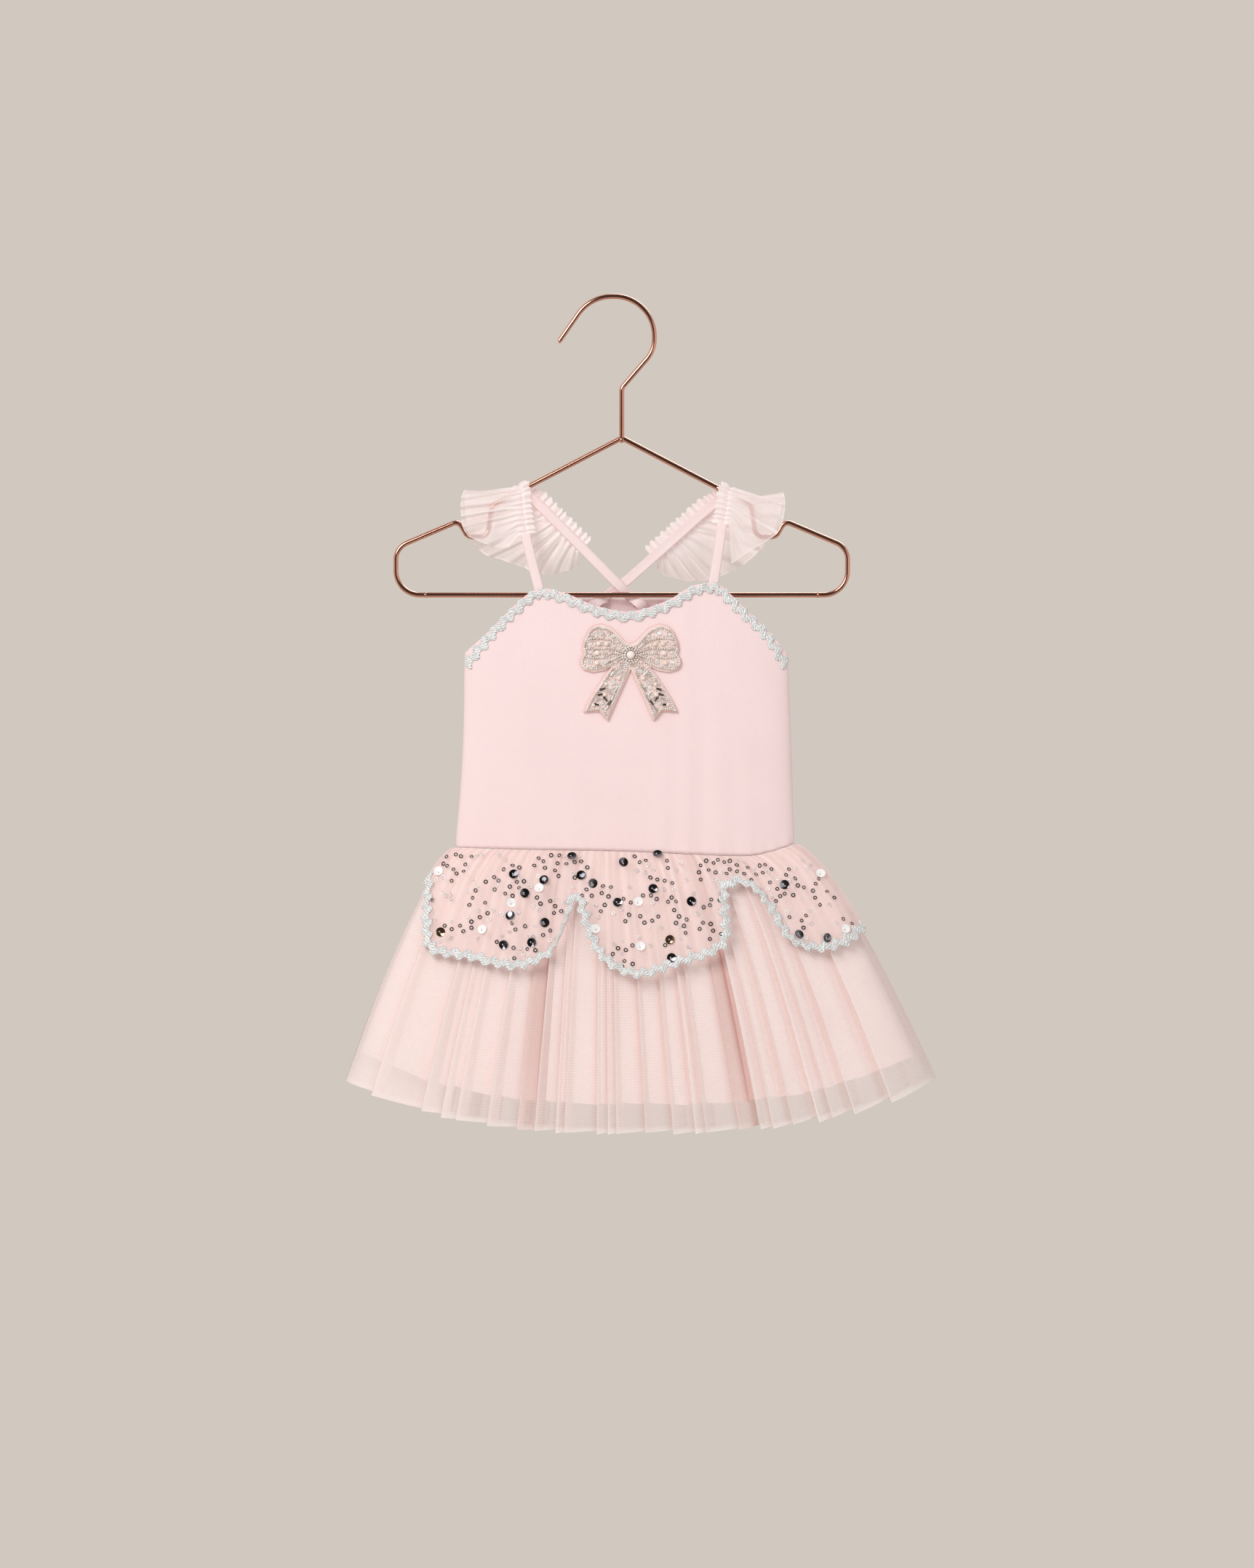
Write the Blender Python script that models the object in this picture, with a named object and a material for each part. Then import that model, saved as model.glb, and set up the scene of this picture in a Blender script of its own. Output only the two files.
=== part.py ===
"""A toddler's ballet tutu dress, hung by its crossed ribbon straps on a bent-wire clothes hanger.

+Z is up, the front faces -Y and +X is to the right as the front is seen. The origin is where the hook's crown
rests on a nail or rail. Sizes below are millimetres; link_mesh writes every mesh in metres.
"""
import bisect
import math

import bmesh
import bpy
from mathutils import Vector

MM = 0.001
SEAM_GAP = 0.3
CREASE_ANGLE = math.radians(40.0)

# Hanger, bent from one gauge of wire and welded. Rows: x or way out from the stem, height, radius of the bend there.
WIRE_DIAMETER = 3.5
STEM_X = 3.8
HOOK_BENDS = [
    (-37.7, -27.9, 0.0),
    (-17.0, 1.75, 27.0),
    (25.5, 1.75, 26.5),
    (25.5, -34.3, 20.0),
    (STEM_X, -59.4, 6.0),
    (STEM_X, -93.8, 0.0),
]
ARM_BENDS = [
    (2.2, -93.7, 0.0),
    (86.5, -137.9, 6.0),
    (89.5, -158.7, 6.0),
    (103.0, -158.7, 5.5),
    (109.0, -148.3, 4.5),
    (150.75, -166.0, 12.0),
    (150.75, -197.6, 16.0),
    (131.0, -197.6, 0.0),
]
BAR_Z = -197.6
BAR_HALF_LENGTH = 130.7
WIRE_SIDES_RESOLUTION = 2

# Bodice: a flattened tube of jersey, a front and a back panel with side seams.
JERSEY_WALL = 1.5
FLATNESS = 2.6
WAIST_Z = -372.0
SHOULDER_Z = -200.0
BODICE_SIDES = [  # height, left seam x, right seam x
    (WAIST_Z, -107.8, 119.5),
    (-305.8, -102.6, 117.2),
    (-237.0, -101.0, 115.0),
    (-185.0, -101.0, 115.0),
]
FRONT_DEPTH = [(WAIST_Z, 14.0), (-300.0, 14.5), (-240.0, 12.0), (-215.0, 9.8), (-185.0, 6.8)]  # height, depth
BACK_DEPTH = [(WAIST_Z, 12.0), (-300.0, 12.0), (-240.0, 10.0), (-195.0, 9.3)]
NECKLINE = [  # x, height of the front panel's upper edge
    (-101.0, -236.2), (-86.1, -223.0), (-70.0, -206.8), (-56.0, -195.2), (-45.0, -193.6), (-29.7, -198.1),
    (-13.6, -204.8), (9.5, -208.7), (33.7, -201.6), (49.0, -192.4), (60.0, -189.8), (69.5, -191.2),
    (86.0, -206.8), (102.1, -222.5), (115.0, -237.0),
]
BACK_EDGE = [  # x, height of the back panel's upper edge
    (-101.0, -236.2), (-84.0, -224.0), (-60.0, -207.5), (-38.0, -200.5), (7.0, -200.0), (52.0, -200.5),
    (74.0, -207.5), (98.0, -224.0), (115.0, -237.0),
]
WAIST_SEAM = [(-1.0, -366.0), (-0.5, -367.5), (0.0, -368.5), (0.65, -371.5), (0.85, -369.0), (1.0, -363.6)]
SOFT_FOLDS = [  # how far across, width across, depth, how far up the panel it dies out
    (0.22, 0.05, 0.9, 0.9), (0.36, 0.06, 1.3, 1.0), (0.55, 0.07, 1.2, 0.8), (0.72, 0.06, 1.0, 0.7),
    (-0.62, 0.08, 0.7, 0.6),
]

# Pleated skirt: a sheer outer layer over a shorter one, each a front and a back panel.
TULLE_WALL = 1.6
HEM_CENTRE = 16.8
HEM_HALF_WIDTH = 197.0
HEM_FRONT_DEPTH = 46.0
HEM_BACK_DEPTH = 27.0
HEM_SIDE_Z = -520.0
HEM_DIP = 34.5
HEM_DIP_POWER = 2.8
FLARE_POWER = 0.75
UNDER_LAYER_RISE = 18.5
UNDER_LAYER_WAVES = 12
FRONT_PLEATS = [  # width at the hem, how far its left edge stands out, how far its right side falls back
    (20.4, 1.4, 1.6), (32.5, 2.2, 3.2), (12.5, 1.8, 1.6), (10.9, 1.6, 1.6), (20.4, 2.6, 2.6), (17.0, 2.6, 3.2),
    (13.6, -1.6, 3.6), (13.1, 2.4, 1.8), (6.3, 1.0, 0.8), (20.9, 2.6, 2.4), (7.3, 1.2, 0.8), (5.8, 1.0, 0.8),
    (18.9, 2.6, 2.6), (18.2, 2.6, 2.8), (14.9, 2.2, 2.0), (6.3, 1.0, 0.8), (23.8, 2.8, 3.4), (12.1, -1.6, 3.4),
    (8.3, 2.0, 1.0), (12.4, 1.8, 1.8), (18.2, 2.4, 2.8), (8.2, 1.2, 1.0), (13.6, 1.8, 2.2), (25.3, 3.0, 2.6),
    (33.0, 2.0, 1.2),
]
BACK_PLEAT_COUNT = 24
BACK_PLEAT_WIDTH = 16.4
BACK_PLEAT_DEPTH_SHARE = 0.15
PLEAT_FACE_MIDDLE = (0.36, 0.42)  # share of the pleat's width, and share of its fall that is reached there
PLEAT_FOLD_SHARE = 0.3
PLEAT_GROWTH_POWER = 0.8
SKIRT_ROWS = [0.0, 0.07, 0.3, 0.65, 1.0]
UNDER_LAYER_GAP = 0.75
UNDER_LAYER_SPREAD = 7.5
UNDER_LAYER_WAVE_HEIGHT = 1.6

# Scalloped overskirt. One row for each scallop, from notch to notch: (how far round the waist, drop of the edge),
# with 0 at the left seam, 1 at the right seam and 2 at the left seam again.
MESH_WALL = 1.3
SCALLOPS = [
    [(0.0, 15.0), (0.024, 30.0), (0.058, 52.0), (0.075, 64.0), (0.1, 69.0), (0.17, 72.0), (0.25, 77.5),
     (0.3, 74.5), (0.335, 66.5), (0.353, 54.5), (0.377, 28.0)],
    [(0.377, 28.0), (0.409, 55.0), (0.432, 69.0), (0.466, 78.0), (0.506, 82.0), (0.54, 80.0), (0.581, 74.5),
     (0.67, 65.0), (0.703, 54.5), (0.717, 38.0), (0.735, 21.0), (0.769, 17.5)],
    [(0.769, 17.5), (0.795, 20.0), (0.814, 31.0), (0.825, 49.5), (0.84, 57.5), (0.873, 62.0), (0.92, 62.5),
     (0.96, 59.5), (1.0, 54.5), (1.06, 48.0), (1.12, 38.0), (1.17, 20.0)],
    [(1.17, 20.0), (1.2, 44.0), (1.25, 63.0), (1.33, 74.0), (1.41, 77.0), (1.48, 73.0), (1.54, 58.0), (1.58, 24.0)],
    [(1.58, 24.0), (1.61, 48.0), (1.65, 66.0), (1.72, 76.0), (1.79, 78.0), (1.86, 72.0), (1.94, 46.0), (2.0, 15.0)],
]
LEAST_COLUMN_SPACING = 0.012
OVERSKIRT_GATHERS = 20
OVERSKIRT_ROWS = [0.0, 0.14, 0.5, 1.0]
OVERSKIRT_GAP = 0.55
OVERSKIRT_PUFF = 5.5
OVERSKIRT_SPREAD = 2.0
PUFF_REACH = 0.12
SEAM_COLUMNS = [0.978, 0.992]

# Metallic zigzag braid on the neckline and on the scalloped edge.
BRAID_WIDTH = 3.6
BRAID_SWING = 1.6
BRAID_PERIOD = 9.0
BRAID_STEPS_PER_WAVE = 3
BRAID_WALL = 1.2
NECK_BRAID_INSET = 4.2
SCALLOP_BRAID_INSET = 1.2
BRAID_LIFT = 0.9
BRAID_HEADING_REACH = 3.0

# Ribbon straps: routes of the ribbon's middle from the front panel up over the hanger's arm and down to the back.
RIBBON_WIDTH = 6.6
RIBBON_WALL = 1.0
LEFT_STRAP = {
    "arm_x": -63.8,
    "front": [(-50.0, -5.3, -201.0), (-51.5, -4.8, -193.4), (-56.0, -4.3, -176.0), (-60.4, -4.0, -157.0),
              (-62.8, -3.7, -141.0)],
    "back": [(-54.0, 3.8, -134.8), (-40.0, 4.2, -148.7), (-22.3, 4.4, -166.4), (1.0, 4.4, -190.2),
             (7.5, 5.6, -196.6), (14.5, 7.0, -203.4)],
    "sides_across": [(0.99, 0.14), (0.885, 0.465), (0.707, 0.707)],
}
RIGHT_STRAP = {
    "arm_x": 74.3,
    "front": [(63.6, -5.0, -198.0), (64.9, -4.6, -190.0), (68.0, -4.2, -170.0), (70.4, -4.0, -152.6),
              (72.6, -3.7, -141.0)],
    "back": [(67.0, 3.8, -135.4), (53.0, 4.6, -147.0), (37.9, 5.4, -160.6), (5.7, 6.2, -189.1),
             (-4.0, 6.6, -196.4), (-12.1, 7.1, -202.4)],
    "sides_across": [(0.99, -0.14), (0.885, -0.465), (0.67, -0.74)],
}

# Gathered shoulder ruffles, stitched along the straps. Rows: share of the ruffle's length, and its free edge x, y, z.
RUFFLE_WALL = 1.1
RUFFLE_GATHERS = 22
HEADING = [(5.0, 0.35), (1.4, 1.1)]  # way in from the ribbon's middle, height, on the heading's edge and crown
STITCH_LINE = 2.4
RUFFLE_ROWS = [0, 1, 2, 2.45, 3]  # heading's edge, its crown, stitch line, flounce, free edge
OVER_TOP_SPREAD = 0.12
LEFT_RUFFLE = {
    "from_z": -157.0, "to_z": -166.0, "over_top": 0.42,
    "edge": [(0.0, -70.0, -9.0, -166.0), (0.10, -86.0, -10.5, -164.0), (0.19, -100.5, -10.0, -156.0),
             (0.28, -103.5, -8.0, -143.0), (0.36, -103.0, -5.5, -131.5), (0.42, -100.5, 0.0, -127.5),
             (0.49, -101.0, 5.5, -134.0), (0.58, -99.0, 8.5, -151.0), (0.67, -91.0, 11.0, -168.0),
             (0.77, -70.0, 13.0, -176.0), (0.88, -46.0, 13.5, -184.0), (1.0, -25.0, 13.0, -178.0)],
}
RIGHT_RUFFLE = {
    "from_z": -150.0, "to_z": -172.0, "over_top": 0.38,
    "edge": [(0.0, 77.0, -9.0, -177.0), (0.07, 87.0, -10.5, -170.0), (0.14, 99.0, -11.0, -162.5),
             (0.21, 108.5, -10.0, -155.5), (0.28, 112.5, -7.5, -142.0), (0.33, 112.5, -5.0, -132.5),
             (0.38, 111.0, 0.0, -129.0), (0.45, 111.0, 5.5, -136.0), (0.55, 106.0, 8.5, -152.0),
             (0.66, 94.0, 11.0, -170.0), (0.77, 72.0, 13.0, -184.0), (0.89, 49.0, 13.5, -188.0),
             (1.0, 27.0, 13.0, -182.0)],
}

# Beaded bow. Right half of its outline from the cleft above the knot to the crotch below it, about the knot.
BOW_CENTRE = (9.7, -237.8)
BOW_WALL = 1.4
BOW_RIM = 1.3
BOW_CROWN = 0.5
BOW_OUTLINE = [
    (0.0, 7.6), (5.0, 12.0), (11.5, 18.4), (20.0, 20.6), (27.5, 18.6), (32.0, 12.5), (33.2, 4.0), (32.4, -4.5),
    (28.5, -11.5), (21.0, -13.8), (12.5, -11.0), (17.0, -19.5), (24.5, -30.0), (31.6, -39.8), (23.0, -38.6),
    (15.5, -45.4), (10.0, -33.0), (4.5, -19.0), (0.8, -9.7),
]
KNOT_RADIUS = 6.2
KNOT_DEPTH_SHARE = 0.42
KNOT_LIFT = 0.9


def srgb(red, green, blue):
    """Linear colour of an 8-bit display colour."""
    return tuple((c / 12.92 if c <= 0.04045 else ((c + 0.055) / 1.055) ** 2.4) for c in
                 (red / 255, green / 255, blue / 255))


FINISHES = {  # colour, roughness, metallic
    "wire": (srgb(168, 104, 82), 0.22, 1.0),
    "jersey": (srgb(245, 222, 221), 0.75, 0.0),
    "tulle": (srgb(240, 220, 215), 0.8, 0.0),
    "under_tulle": (srgb(238, 210, 204), 0.8, 0.0),
    "sequin_mesh": (srgb(228, 198, 189), 0.6, 0.0),
    "braid": (srgb(214, 222, 219), 0.4, 0.6),
    "ribbon": (srgb(243, 214, 213), 0.4, 0.0),
    "beading": (srgb(214, 190, 178), 0.45, 0.2),
}


def clear_scene():
    for item in list(bpy.data.objects):
        bpy.data.objects.remove(item)


def principled(object_name, finish):
    """A material of the object's own, in one of the garment's finishes."""
    colour, roughness, metallic = FINISHES[finish]
    material = bpy.data.materials.new(object_name)
    material.use_nodes = True
    shader = material.node_tree.nodes["Principled BSDF"]
    shader.inputs["Base Color"].default_value = (*colour, 1.0)
    shader.inputs["Roughness"].default_value = roughness
    shader.inputs["Metallic"].default_value = metallic
    return material


def link_mesh(name, finish, shape):
    """Turn a bmesh in millimetres into a smooth-shaded object in metres."""
    bmesh.ops.recalc_face_normals(shape, faces=shape.faces[:])
    bmesh.ops.scale(shape, vec=(MM, MM, MM), verts=shape.verts[:])
    mesh = bpy.data.meshes.new(name)
    shape.to_mesh(mesh)
    shape.free()
    mesh.shade_smooth()
    mesh.set_sharp_from_angle(angle=CREASE_ANGLE)
    mesh.materials.append(principled(name, finish))
    made = bpy.data.objects.new(name, mesh)
    bpy.context.scene.collection.objects.link(made)
    return made


def mix(low, high, share):
    return low + (high - low) * share


def read_table(table, at, column=1):
    """Straight-line reading of one column of a table whose first column rises."""
    keys = [row[0] for row in table]
    upper = min(max(bisect.bisect_right(keys, at), 1), len(keys) - 1)
    low, high = table[upper - 1], table[upper]
    share = min(max((at - low[0]) / (high[0] - low[0]), 0.0), 1.0)
    return mix(low[column], high[column], share)


def smooth_curve(points, steps_per_span=8):
    """Points of a Catmull-Rom curve through the given ones."""
    points = [Vector(p) for p in points]
    ends = [points[0] * 2 - points[1]] + points + [points[-1] * 2 - points[-2]]
    curve = []
    for a, b, c, d in zip(ends, ends[1:], ends[2:], ends[3:]):
        for step in range(steps_per_span):
            t = step / steps_per_span
            curve.append(0.5 * ((2 * b) + (c - a) * t + (2 * a - 5 * b + 4 * c - d) * t * t
                                + (3 * b - a - 3 * c + d) * t ** 3))
    return curve + [points[-1]]


def lengths_along(points):
    """Running length at each point."""
    totals = [0.0]
    for a, b in zip(points, points[1:]):
        totals.append(totals[-1] + (b - a).length)
    return totals


def point_along(points, totals, at):
    """Point at a running length, on the straight lines between points."""
    upper = min(max(bisect.bisect_right(totals, at), 1), len(totals) - 1)
    share = (at - totals[upper - 1]) / max(totals[upper] - totals[upper - 1], 1e-9)
    return points[upper - 1].lerp(points[upper], min(max(share, 0.0), 1.0))


def cloth(name, finish, columns, rows, place, wall):
    """Closed sheet of cloth. place(column, row) gives a point of the outer side and the way out there."""
    shape = bmesh.new()
    bmesh.ops.create_grid(shape, x_segments=len(columns) - 1, y_segments=len(rows) - 1, size=1.0)
    inward = shape.verts.layers.float_vector.new("inward")
    for vert in shape.verts:
        column = columns[round((vert.co.x + 1) / 2 * (len(columns) - 1))]
        row = rows[round((vert.co.y + 1) / 2 * (len(rows) - 1))]
        point, outward = place(column, row)
        vert.co = point
        vert[inward] = -wall * outward
    inner_side = bmesh.ops.extrude_face_region(shape, geom=shape.faces[:])
    for item in inner_side["geom"]:
        if isinstance(item, bmesh.types.BMVert):
            item.co += item[inward]
    return link_mesh(name, finish, shape)


class Panel:
    """A cloth's outer points, kept so that what lies on it can be made from them."""

    def __init__(self, columns, rows, place):
        self.columns = columns
        self.rows = rows
        self.place = place
        self.points = [[place(column, row)[0] for row in rows] for column in columns]

    def point(self, column, row):
        """Point on the flat faces between the outer points; a row past the last one goes straight on."""
        i = min(max(bisect.bisect_right(self.columns, column) - 1, 0), len(self.columns) - 2)
        j = min(max(bisect.bisect_right(self.rows, row) - 1, 0), len(self.rows) - 2)
        s = (column - self.columns[i]) / (self.columns[i + 1] - self.columns[i])
        t = (row - self.rows[j]) / (self.rows[j + 1] - self.rows[j])
        lower = self.points[i][j].lerp(self.points[i + 1][j], s)
        upper = self.points[i][j + 1].lerp(self.points[i + 1][j + 1], s)
        return lower + (upper - lower) * t


def bent_path(bends):
    """Path through (x, z, bend radius) rows in the hanger's plane, with its corners rounded."""
    path = [Vector((bends[0][0], 0.0, bends[0][1]))]
    for before, here, after in zip(bends, bends[1:], bends[2:]):
        corner = Vector((here[0], 0.0, here[1]))
        way_in = (corner - Vector((before[0], 0.0, before[1]))).normalized()
        way_out = (Vector((after[0], 0.0, after[1])) - corner).normalized()
        turn = way_in.angle(way_out)
        reach = here[2] * math.tan(turn / 2)
        steps = max(2, round(math.degrees(turn) / 15))
        towards_centre = (way_out - way_in).normalized()
        centre = corner + towards_centre * here[2] / math.cos(turn / 2)
        start = corner - way_in * reach - centre
        finish = corner + way_out * reach - centre
        for step in range(steps + 1):
            angle = turn * step / steps
            path.append(centre + (start * math.sin(turn - angle) + finish * math.sin(angle)) / math.sin(turn))
    path.append(Vector((bends[-1][0], 0.0, bends[-1][1])))
    return path


def wire(name, path):
    """Round wire along a path, as a curve with a bevel and filled caps."""
    curve = bpy.data.curves.new(name, "CURVE")
    curve.dimensions = "3D"
    curve.bevel_depth = WIRE_DIAMETER / 2 * MM
    curve.bevel_resolution = WIRE_SIDES_RESOLUTION
    curve.use_fill_caps = True
    spline = curve.splines.new("POLY")
    spline.points.add(len(path) - 1)
    for knot, point in zip(spline.points, path):
        knot.co = (*(point * MM), 1.0)
    spline.use_smooth = True
    curve.materials.append(principled(name, "wire"))
    made = bpy.data.objects.new(name, curve)
    bpy.context.scene.collection.objects.link(made)


def arm_bends(side):
    return [(STEM_X + side * out, height, radius) for out, height, radius in ARM_BENDS]


def make_hanger():
    wire("hanger_hook", bent_path(HOOK_BENDS))
    wire("hanger_arm_left", bent_path(arm_bends(-1)))
    wire("hanger_arm_right", bent_path(arm_bends(1)))
    ends = [Vector((STEM_X + side * BAR_HALF_LENGTH, 0.0, BAR_Z)) for side in (-1, 0, 1)]
    wire("hanger_bar", ends)


def ring_place(across, half_width, depth, side):
    """Offset from a flattened tube's middle, and the way out. across is -1 at the left seam and 1 at the right."""
    bulge = (1 - abs(across) ** FLATNESS) ** (1 / FLATNESS)
    offset = Vector((across * half_width, side * (SEAM_GAP / 2 + depth * bulge), 0.0))
    outward = Vector((across, side * math.sqrt(max(0.0, 1 - across * across)), 0.0))
    return offset, outward


def bodice_ring(z):
    left = read_table(BODICE_SIDES, z, 1)
    right = read_table(BODICE_SIDES, z, 2)
    return (left + right) / 2, (right - left) / 2


def even_columns(count):
    """Places across a panel, closer together towards its seams."""
    return [math.sin(math.pi / 2 * step / count) for step in range(-count, count + 1)]


def soft_fold(across, up):
    """How far the jersey's soft vertical folds lift the front."""
    lift = 0.0
    for middle, width, height, reach in SOFT_FOLDS:
        fade = max(0.0, 1 - up / reach) if reach < 1 else 1 - 0.5 * up
        lift += height * fade * math.exp(-((across - middle) / width) ** 2)
    return lift


def bodice_place(side, edge, depth_table):
    top_centre, top_half = bodice_ring(SHOULDER_Z)

    def place(across, up):
        bottom = read_table(WAIST_SEAM, across)
        top = read_table(edge, top_centre + top_half * across)
        z = mix(bottom, top, up)
        centre, half = bodice_ring(z)
        offset, outward = ring_place(across, half, read_table(depth_table, z), side)
        folds = soft_fold(across, up) if side < 0 else 0.0
        return Vector((centre, 0.0, z)) + offset + outward * folds, outward

    return place


def make_bodice():
    """Front and back panels. Returns the front's points for what lies on it."""
    front_columns = even_columns(12)
    front_rows = [step / 8 for step in range(9)]
    front = bodice_place(-1, NECKLINE, FRONT_DEPTH)
    back = bodice_place(1, BACK_EDGE, BACK_DEPTH)
    cloth("bodice_front", "jersey", front_columns, front_rows, front, JERSEY_WALL)
    cloth("bodice_back", "jersey", even_columns(10), [step / 6 for step in range(7)], back, JERSEY_WALL)
    return Panel(front_columns, front_rows, front)


def front_point(panel, x, z):
    """Point of the bodice's front at an x and a height."""
    centre, half = bodice_ring(z)
    across = min(max((x - centre) / half, -0.998), 0.998)
    top = panel.point(across, 1.0).z
    bottom = panel.point(across, 0.0).z
    return panel.point(across, (z - bottom) / (top - bottom)), Vector((across, -math.sqrt(1 - across ** 2), 0.0))


def braid(name, length, place):
    """Zigzag braid. place(along, aside) gives the cloth's point under it and the way out."""
    waves = round(length / BRAID_PERIOD)
    count = waves * BRAID_STEPS_PER_WAVE
    columns = [length * step / count for step in range(count + 1)]

    def place_braid(along, aside):
        swing = BRAID_SWING * math.cos(2 * math.pi * waves * along / length)
        point, outward = place(along, aside + swing)
        return point + outward * (BRAID_LIFT + BRAID_WALL), outward

    cloth(name, "braid", columns, [-BRAID_WIDTH / 2, BRAID_WIDTH / 2], place_braid, BRAID_WALL)


def heading(points, totals, along):
    """Way ahead on a route, over a short stretch of it."""
    after = point_along(points, totals, along + BRAID_HEADING_REACH)
    before = point_along(points, totals, along - BRAID_HEADING_REACH)
    return after - before


def make_neck_braid(panel):
    """Braid set just inside the front panel's upper edge, and turned down a little at the side seams."""
    outline = [Vector((x, 0.0, z)) for x, z in NECKLINE]
    outline[0] = outline[0] + Vector((0.6, 0.0, -7.0))
    outline[-1] = outline[-1] + Vector((-0.6, 0.0, -7.0))
    edge = smooth_curve(outline, 4)
    totals = lengths_along(edge)

    def place(along, aside):
        here = point_along(edge, totals, along)
        ahead = heading(edge, totals, along).normalized()
        inside = Vector((ahead.z, 0.0, -ahead.x))
        spot = here + inside * (NECK_BRAID_INSET + aside)
        return front_point(panel, spot.x, spot.z)

    braid("neck_braid", totals[-1], place)


def hem_z(across):
    return HEM_SIDE_Z - HEM_DIP * (1 - abs(across) ** HEM_DIP_POWER)


def skirt_place(across, down, lift, side):
    """Point of the skirt's middle surface moved out by lift. down is 0 at the waist and 1 at the outer hem."""
    waist_centre, waist_half = bodice_ring(WAIST_Z)
    flare = down ** FLARE_POWER
    centre = mix(waist_centre, HEM_CENTRE, flare)
    half = mix(waist_half, HEM_HALF_WIDTH, flare)
    waist_depth = (FRONT_DEPTH if side < 0 else BACK_DEPTH)[0][1]
    hem_depth = HEM_FRONT_DEPTH if side < 0 else HEM_BACK_DEPTH
    offset, outward = ring_place(across, half, mix(waist_depth, hem_depth, flare), side)
    top = read_table(WAIST_SEAM, across) - SEAM_GAP
    z = mix(top, hem_z(across), down)
    return Vector((centre, 0.0, z)) + offset + outward * lift, outward


def pleat_columns(pleats):
    """Places across, from (width, standing out, falling back) rows, with the pleats' heights there."""
    total = sum(row[0] for row in pleats)
    width_share, fall_share = PLEAT_FACE_MIDDLE
    columns = [(-1.0, 0.0), (-0.99, 0.0)]
    start = 0.0
    for index, (width, crest, trough) in enumerate(pleats):
        if index:
            columns.append((2 * start / total - 1, crest))
        columns.append((2 * (start + width * width_share) / total - 1, mix(crest, -trough, fall_share)))
        if index < len(pleats) - 1:
            columns.append((2 * (start + width * (1 - PLEAT_FOLD_SHARE)) / total - 1, -trough))
        start += width
    columns += [(0.97, -0.5), (0.99, 0.0), (1.0, 0.0)]
    return columns


def back_pleats():
    """The back's pleats: widths and depths uneven in a set way."""
    pleats = []
    for index in range(BACK_PLEAT_COUNT):
        width = BACK_PLEAT_WIDTH * (1 + 0.32 * math.sin(2.3 * index) + 0.16 * math.sin(5.1 * index + 1))
        depth = BACK_PLEAT_DEPTH_SHARE * width
        pleats.append((width, depth, depth))
    return pleats


def pleat_growth(down):
    """How much of a pleat's full height it has on its way down, from none at the waist."""
    return down ** PLEAT_GROWTH_POWER


def make_skirt_layer(name, columns, side):
    heights = dict(columns)

    def place(across, down):
        return skirt_place(across, down, heights[across] * pleat_growth(down), side)

    cloth(name, "tulle", [column[0] for column in columns], SKIRT_ROWS, place, TULLE_WALL)


def under_layer_drop(down):
    """How far the shorter layer lies inside the outer one's middle."""
    return TULLE_WALL + UNDER_LAYER_GAP + UNDER_LAYER_SPREAD * math.sqrt(down)


def make_under_layer(name, side):
    steps = UNDER_LAYER_WAVES * 3
    columns = [math.sin(math.pi / 2 * (2 * step / steps - 1)) for step in range(steps + 1)]

    def place(across, down):
        length = read_table(WAIST_SEAM, across) - hem_z(across)
        reach = down * (1 - UNDER_LAYER_RISE / length)
        phase = 2 * math.pi * UNDER_LAYER_WAVES * (math.asin(across) / math.pi + 0.5)
        wave = UNDER_LAYER_WAVE_HEIGHT * pleat_growth(reach) * math.sin(phase)
        return skirt_place(across, reach, wave - under_layer_drop(reach), side)

    cloth(name, "under_tulle", columns, SKIRT_ROWS, place, TULLE_WALL)


def make_skirt():
    make_skirt_layer("skirt_outer_front", pleat_columns(FRONT_PLEATS), -1)
    make_skirt_layer("skirt_outer_back", pleat_columns(back_pleats()), 1)
    make_under_layer("skirt_under_front", -1)
    make_under_layer("skirt_under_back", 1)


def scallop_drops():
    """Table of how far the overskirt's edge hangs below the waist, all round, smooth between the notches."""
    table = []
    for scallop in SCALLOPS:
        table += smooth_curve([(*row, 0.0) for row in scallop], 6)[:-1]
    return table + [SCALLOPS[-1][-1]]


def round_waist_of(across, side):
    return (across + 1) / 2 if side < 0 else 1 + (1 - across) / 2


def overskirt_columns(side):
    """Columns at the scallops' rows, filled up with even ones."""
    steps = OVERSKIRT_GATHERS * 3
    even = [2 * step / steps - 1 for step in range(steps + 1)]
    even += SEAM_COLUMNS + [-column for column in SEAM_COLUMNS]
    rows = [row[0] for scallop in SCALLOPS for row in scallop]
    traced = {2 * row - 1 for row in rows if 0 < row < 1} if side < 0 else {3 - 2 * row for row in rows if 1 < row < 2}
    even = [column for column in even if all(abs(column - other) > LEAST_COLUMN_SPACING for other in traced)]
    return sorted([*even, *traced])


def overskirt_place(side):
    drops = scallop_drops()

    def place(across, share):
        length = read_table(WAIST_SEAM, across) - hem_z(across)
        down = share * read_table(drops, round_waist_of(across, side)) / length
        puff = OVERSKIRT_PUFF * min(1.0, down / PUFF_REACH) ** 0.6 + OVERSKIRT_SPREAD * down
        narrowing = 1 - 0.7 * abs(across) ** 6
        gathers = math.cos(2 * math.pi * OVERSKIRT_GATHERS * (across + 1) / 2)
        near_seam = min(1.0, (1 - abs(across)) / 0.06)
        gather_height = 0.35 + 0.65 * min(1.0, down / 0.1) * (1 - 0.45 * min(1.0, share))
        lift = MESH_WALL + OVERSKIRT_GAP + puff * narrowing + gathers * near_seam * gather_height
        return skirt_place(across, down, lift, side)

    return place


def make_overskirt(name, side):
    """Scalloped mesh layer. Returns its points for the braid along its edge."""
    columns = overskirt_columns(side)
    place = overskirt_place(side)
    cloth(name, "sequin_mesh", columns, OVERSKIRT_ROWS, place, MESH_WALL)
    return Panel(columns, OVERSKIRT_ROWS, place)


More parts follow.
